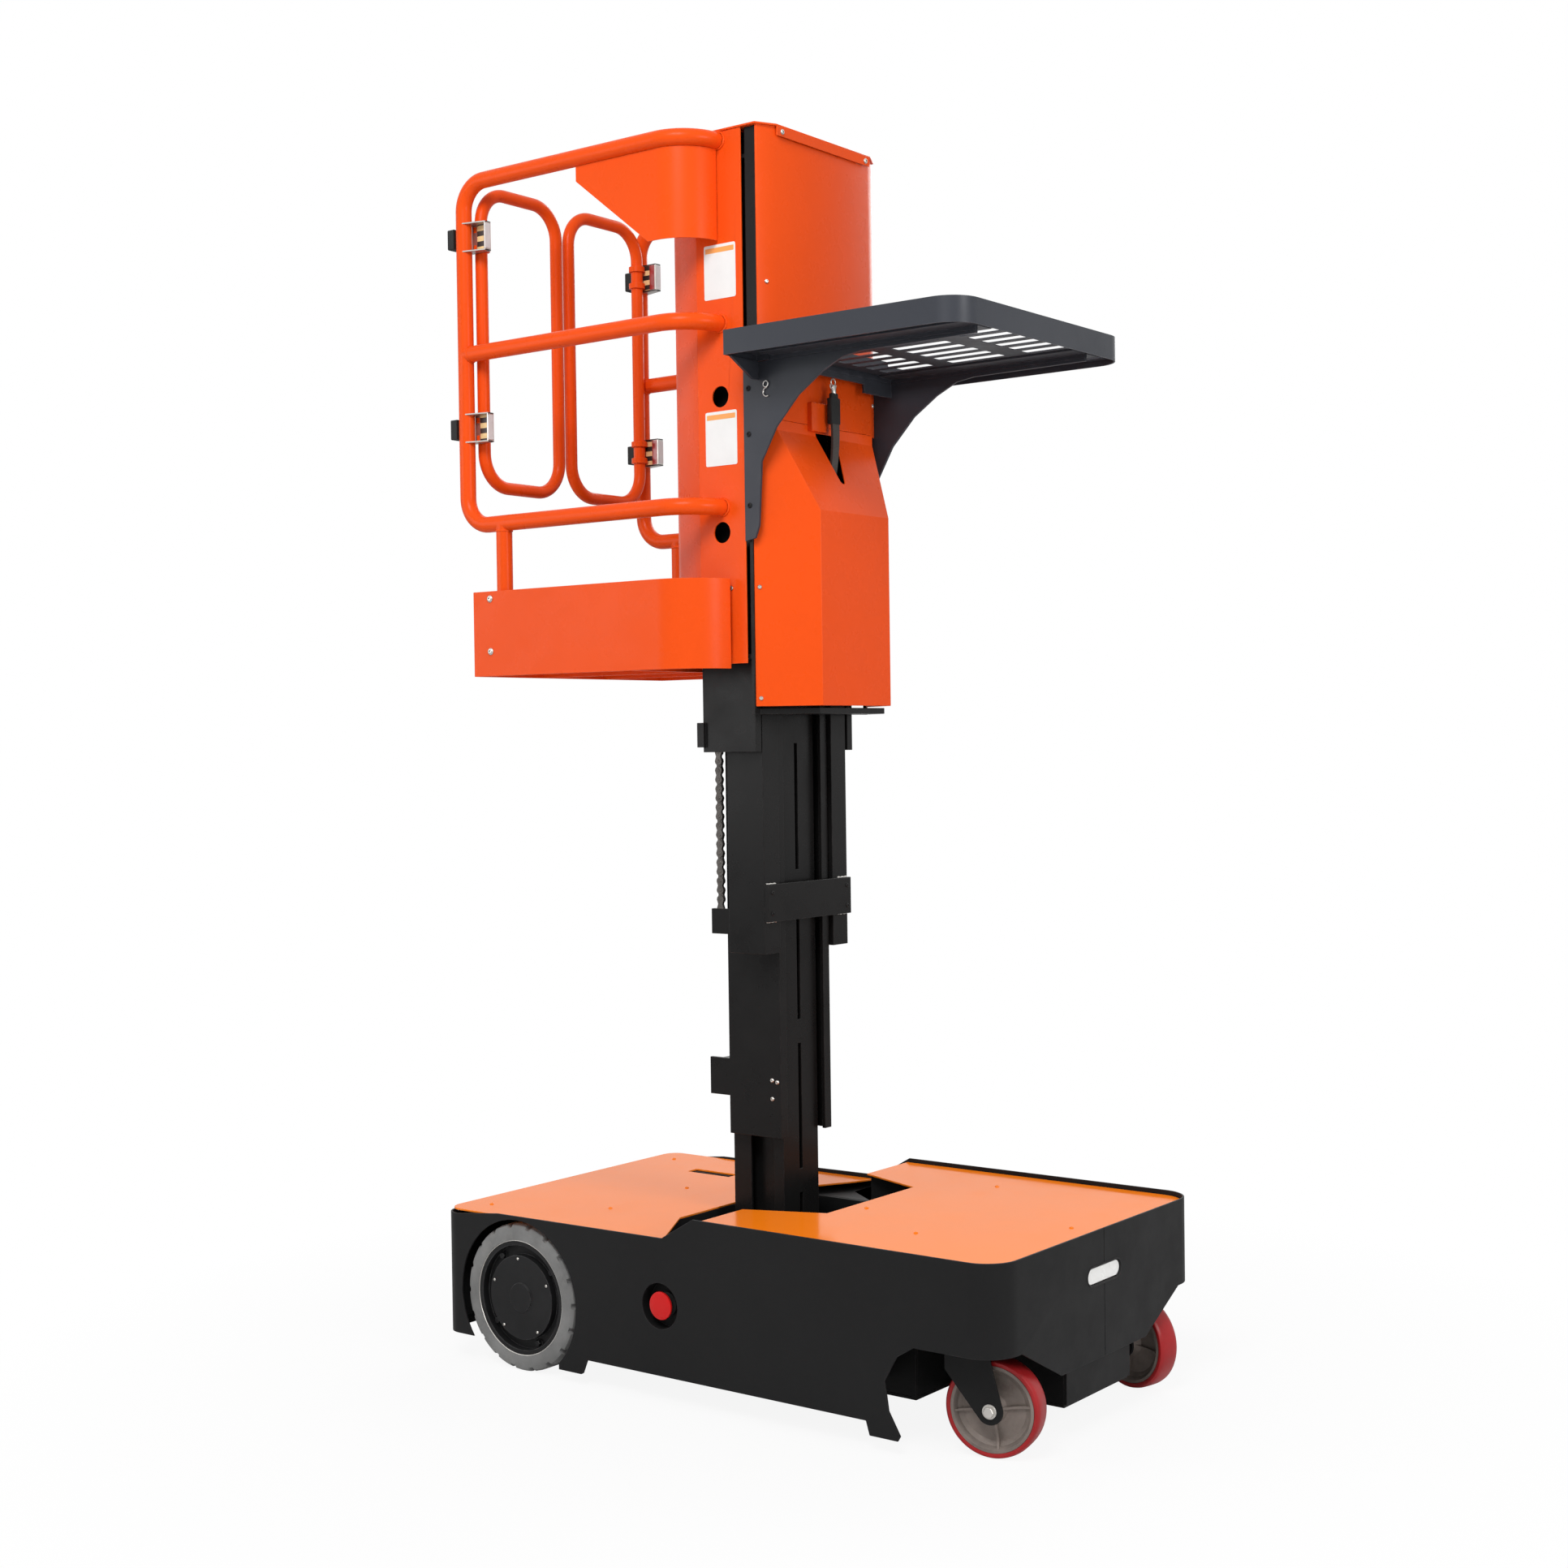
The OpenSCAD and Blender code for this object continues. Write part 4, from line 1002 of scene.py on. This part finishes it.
def bonnet_shell():
    """Bonnet ahead of the mast: front, angled sides and a sloped roof with a rounded notch."""
    rear, ridge, front = 0.028, 0.070, 0.140
    low, eave, top, seam = 1.364, 1.750, 1.909, 1.930
    half, front_half = 0.190, 0.118
    ridge_half = half - (half - front_half)*(ridge - rear)/(front - rear)

    def roof(y, z):
        return (front - (front - ridge)*(z - eave)/(top - eave), y, z)

    verts = []
    faces = []

    def face(points):
        loop = []
        for p in points:
            match = [k for k, v in enumerate(verts) if (Vector(v) - Vector(p)).length < 1e-6]
            if not match:
                verts.append(p)
                match = [len(verts) - 1]
            loop.append(match[0])
        faces.append(tuple(loop))

    face([(front, -front_half, low), (front, front_half, low), (front, front_half, eave),
          (front, -front_half, eave)])
    for side in (-1, 1):
        wall = [(rear, side*half, low), (front, side*front_half, low), (front, side*front_half, eave),
                (ridge, side*ridge_half, top), (ridge, side*ridge_half, seam), (rear, side*half, seam)]
        face(wall if side < 0 else wall[::-1])
    bottom = arc_points((0, 0, 1.821), (0, 1, 0), (0, 0, 1), 0.008, -16, -164, 8)
    mouth = 0.0342
    mouth_top = (0.036, 1.915)
    notch = [roof(mouth, top)] + [roof(p.y, p.z) for p in bottom] + [roof(-mouth, top)]
    face([roof(-front_half, eave), roof(front_half, eave), (ridge, ridge_half, top)] + notch
         + [(ridge, -ridge_half, top)])
    ledge = [(-ridge_half, top), (-mouth, top), (-mouth_top[0], mouth_top[1]), mouth_top,
             (mouth, top), (ridge_half, top), (ridge_half, seam), (-ridge_half, seam)]
    face([(ridge, y, z) for y, z in ledge])
    obj = piece("bonnet_shell", verts, faces, "orange_paint", "platform", 20.0)
    wall = obj.modifiers.new("wall", "SOLIDIFY")
    wall.thickness = 0.003
    wall.offset = -1
    wall.use_even_offset = True
    soften(obj, 0.0016)
    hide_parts("bonnet")
    box = Mesh()
    box.add(*plate(rounded_rect(0.057, 0.058, 0.003), 0.012, 0.0015),
            facing((1, 0, 0), (ridge, -0.0345, 1.946)))
    soften(box.make("cover_box", "orange_paint", "platform", "orange_paint"), 0.001)


def floor_mat():
    """Rubber mat with a diamond pattern of raised studs."""
    rear, front, half = -0.630, -0.205, 0.285
    stud = [(-0.006, -0.0018), (0.006, -0.0018), (0.006, 0.0018), (-0.006, 0.0018)]
    mat = Mesh()
    mat.add(*plate([(rear, -half), (front, -half), (front, half), (rear, half)], 0.003, 0.001),
            moved(0, 0, FLOOR_TOP))
    for i in range(22):
        for j in range(30):
            x = rear + 0.012 + 0.0185*i + (0.009 if j % 2 else 0)
            y = -half + 0.010 + 0.019*j
            turn = Matrix.Rotation(math.radians(45 if (i + j) % 2 else -45), 4, "Z")
            mat.add(*plate(stud, 0.0012, 0.0005), moved(x, y, FLOOR_TOP + 0.0028) @ turn)
    mat.make("floor_mat", RUBBER, "platform", "orange_paint")


def strap_and_hook():
    """Webbing strap with a sleeve, and the snap hook that holds it to the tray."""
    x, y = STRAP_X, STRAP_Y
    low, length = 1.828, 0.150
    steps = 20
    thick = 0.0026
    strap = Mesh()
    for k in range(steps + 1):
        t = k/steps
        z = low + length*t
        cx = x + 0.006*math.sin(math.pi*t) - 0.004*(1 - t)
        half = 0.0125 - 0.003*(1 - t)
        strap.verts += [Vector((cx - thick, y - half, z)), Vector((cx + thick, y - half, z)),
                        Vector((cx + thick, y + half, z)), Vector((cx - thick, y + half, z))]
    for b in range(0, 4*steps, 4):
        for j in range(4):
            i = (j + 1) % 4
            strap.faces.append((b + j, b + i, b + 4 + i, b + 4 + j))
    end = 4*steps
    strap.faces += [(3, 2, 1, 0), (end, end + 1, end + 2, end + 3)]
    obj = strap.make("safety_strap", "strap", "platform", "strap", 40.0)
    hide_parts("lanyard")
    sleeve = Mesh()
    sleeve.add(*plate(rounded_rect(0.015, 0.031, 0.005), 0.052, 0.001), moved(x + 0.001, y, 1.934))
    sleeve.add(*plate(rounded_rect(0.011, 0.022, 0.004), 0.010, 0.002), moved(x + 0.001, y, 1.986))
    sleeve.make("strap_sleeve", RUBBER, "platform", "strap", 40.0)
    hook = Mesh()
    swivel = [(0.0055, 0), (0.0062, 0.002), (0.0062, 0.018), (0.0045, 0.021), (0.003, 0.0215)]
    hook.add(*lathe(swivel, 20), moved(x, y, 1.992))
    bend = arc_points((x, y, 2.0185), (0, 1, 0), (0, 0, 1), 0.0072, -60, 240, 20)
    hook.add(*tube(bend, 0.0016, 8))
    gate = arc_points((x, y, 2.0135), (0, 1, 0), (0, 0, 1), 0.0105, 180, 360, 12)
    hook.add(*tube(gate, 0.0012, 8))
    hook.make("snap_hook", "bright_plate", "platform", "strap", 40.0)


def tray_hook():
    """Small open hook on a link under the tray's near rear corner."""
    hook = Mesh()
    at = Vector((0.075, -0.2052, 1.982))
    link = arc_points(at + Vector((0, 0, 0.012)), (1, 0, 0), (0, 0, 1), 0.006, 0, 360, 20)[:-1]
    hook.add(*tube(link, 0.0012, 8, closed=True))
    bend = arc_points(at + Vector((0.002, 0, -0.004)), (1, 0, 0), (0, 0, 1), 0.0085, 80, 300, 16)
    hook.add(*tube(bend, 0.0013, 8))
    hook.make("tray_hook", "bright_plate", "platform", "tray_paint", 40.0)


# Set: floor, light and camera

def mix_shaders(nodes, links, fac, a, b, end):
    """Mixes two shaders into an output node."""
    mix = nodes.new("ShaderNodeMixShader")
    links.new(fac, mix.inputs["Fac"])
    links.new(a.outputs[0], mix.inputs[1])
    links.new(b.outputs[0], mix.inputs[2])
    links.new(mix.outputs[0], nodes[end].inputs["Surface"])


def build_floor():
    """Pale floor that fades to white away from the truck."""
    size = 14.0
    corners = [(-size, -size, 0), (size, -size, 0), (size, size, 0), (-size, size, 0)]
    mesh = bpy.data.meshes.new("studio_floor")
    mesh.from_pydata(corners, [], [(0, 1, 2, 3)])
    floor = bpy.data.objects.new("studio_floor", mesh)
    bpy.context.scene.collection.objects.link(floor)
    mat, nodes, links, shader = new_material("studio_floor")
    shader.inputs["Base Color"].default_value = (0.8, 0.8, 0.8, 1)
    shader.inputs["Roughness"].default_value = 0.9
    shader.inputs["Specular IOR Level"].default_value = 0.1
    glow = nodes.new("ShaderNodeEmission")
    glow.inputs["Color"].default_value = (1, 1, 1, 1)
    where = nodes.new("ShaderNodeTexCoord").outputs["Object"]
    length = nodes.new("ShaderNodeVectorMath")
    length.operation = "LENGTH"
    links.new(where, length.inputs[0])
    fade = remap(nodes, links, length.outputs["Value"], 0.90, 1.0, 0.8, 1.8)
    camera_ray = nodes.new("ShaderNodeLightPath").outputs["Is Camera Ray"]
    seen = math_node(nodes, links, "MULTIPLY", fade, camera_ray)
    mix_shaders(nodes, links, seen, shader, glow, "Material Output")
    mesh.materials.append(mat)


def build_light():
    """White surround, dimmer as a light than as it is seen, and soft lamps."""
    world = bpy.data.worlds.new("studio")
    bpy.context.scene.world = world
    world.use_nodes = True
    nodes = world.node_tree.nodes
    links = world.node_tree.links
    lit = nodes["Background"]
    seen = nodes.new("ShaderNodeBackground")
    for background, strength in ((lit, WORLD_STRENGTH), (seen, 1.0)):
        background.inputs["Color"].default_value = (1, 1, 1, 1)
        background.inputs["Strength"].default_value = strength
    path = nodes.new("ShaderNodeLightPath")
    either = path.outputs["Is Camera Ray"]
    for ray in ("Is Glossy Ray", "Is Transmission Ray"):
        either = math_node(nodes, links, "MAXIMUM", either, path.outputs[ray])
    mix_shaders(nodes, links, either, lit, seen, "World Output")

    for name, at, size, power in LAMPS:
        lamp = bpy.data.lights.new(name, "AREA")
        lamp.shape = "DISK"
        lamp.size = size
        lamp.energy = power
        obj = bpy.data.objects.new(name, lamp)
        obj.location = at
        obj.rotation_euler = (LAMPS_AIM - Vector(at)).to_track_quat("-Z", "Y").to_euler()
        bpy.context.scene.collection.objects.link(obj)


def build_camera():
    """The photograph's camera."""
    a = math.radians(CAMERA_YAW)
    e = math.radians(CAMERA_PITCH)
    roll = math.radians(CAMERA_ROLL)
    ahead = Vector((-math.sin(a)*math.cos(e), math.cos(a)*math.cos(e), math.sin(e)))
    right = ahead.cross(Vector((0, 0, 1))).normalized()
    up = right.cross(ahead)
    x = right*math.cos(roll) + up*math.sin(roll)
    y = up*math.cos(roll) - right*math.sin(roll)
    data = bpy.data.cameras.new("camera")
    data.lens = CAMERA_LENS
    data.sensor_width = 36.0
    data.clip_end = 60.0
    cam = bpy.data.objects.new("camera", data)
    turn = Matrix((x, y, -ahead)).transposed().to_4x4()
    cam.matrix_world = Matrix.Translation(Vector(CAMERA_AT)) @ turn
    bpy.context.scene.collection.objects.link(cam)
    bpy.context.scene.camera = cam


dress_cad()
for side in (-1, 1):
    drive_tyre(side)
    hub_details(side)
    caster_wheel(side)
    caster_fork(side)
    gate_leaf(side)
stop_button()
deck_fixings()
lamp_lip()
chain_links()
mast_fixings()
weld_beads()
sheet_fixings()
label("label_upper", -0.040, 2.230, 0.080, 0.108)
label("label_lower", -0.042, 1.899, 0.080, 0.108)
hinge_clips()
slotted_tray()
tray_flanges()
column_sheet()
third_section()
bonnet_shell()
floor_mat()
strap_and_hook()
tray_hook()
build_floor()
build_light()
build_camera()
bpy.context.scene.view_settings.view_transform = "Standard"
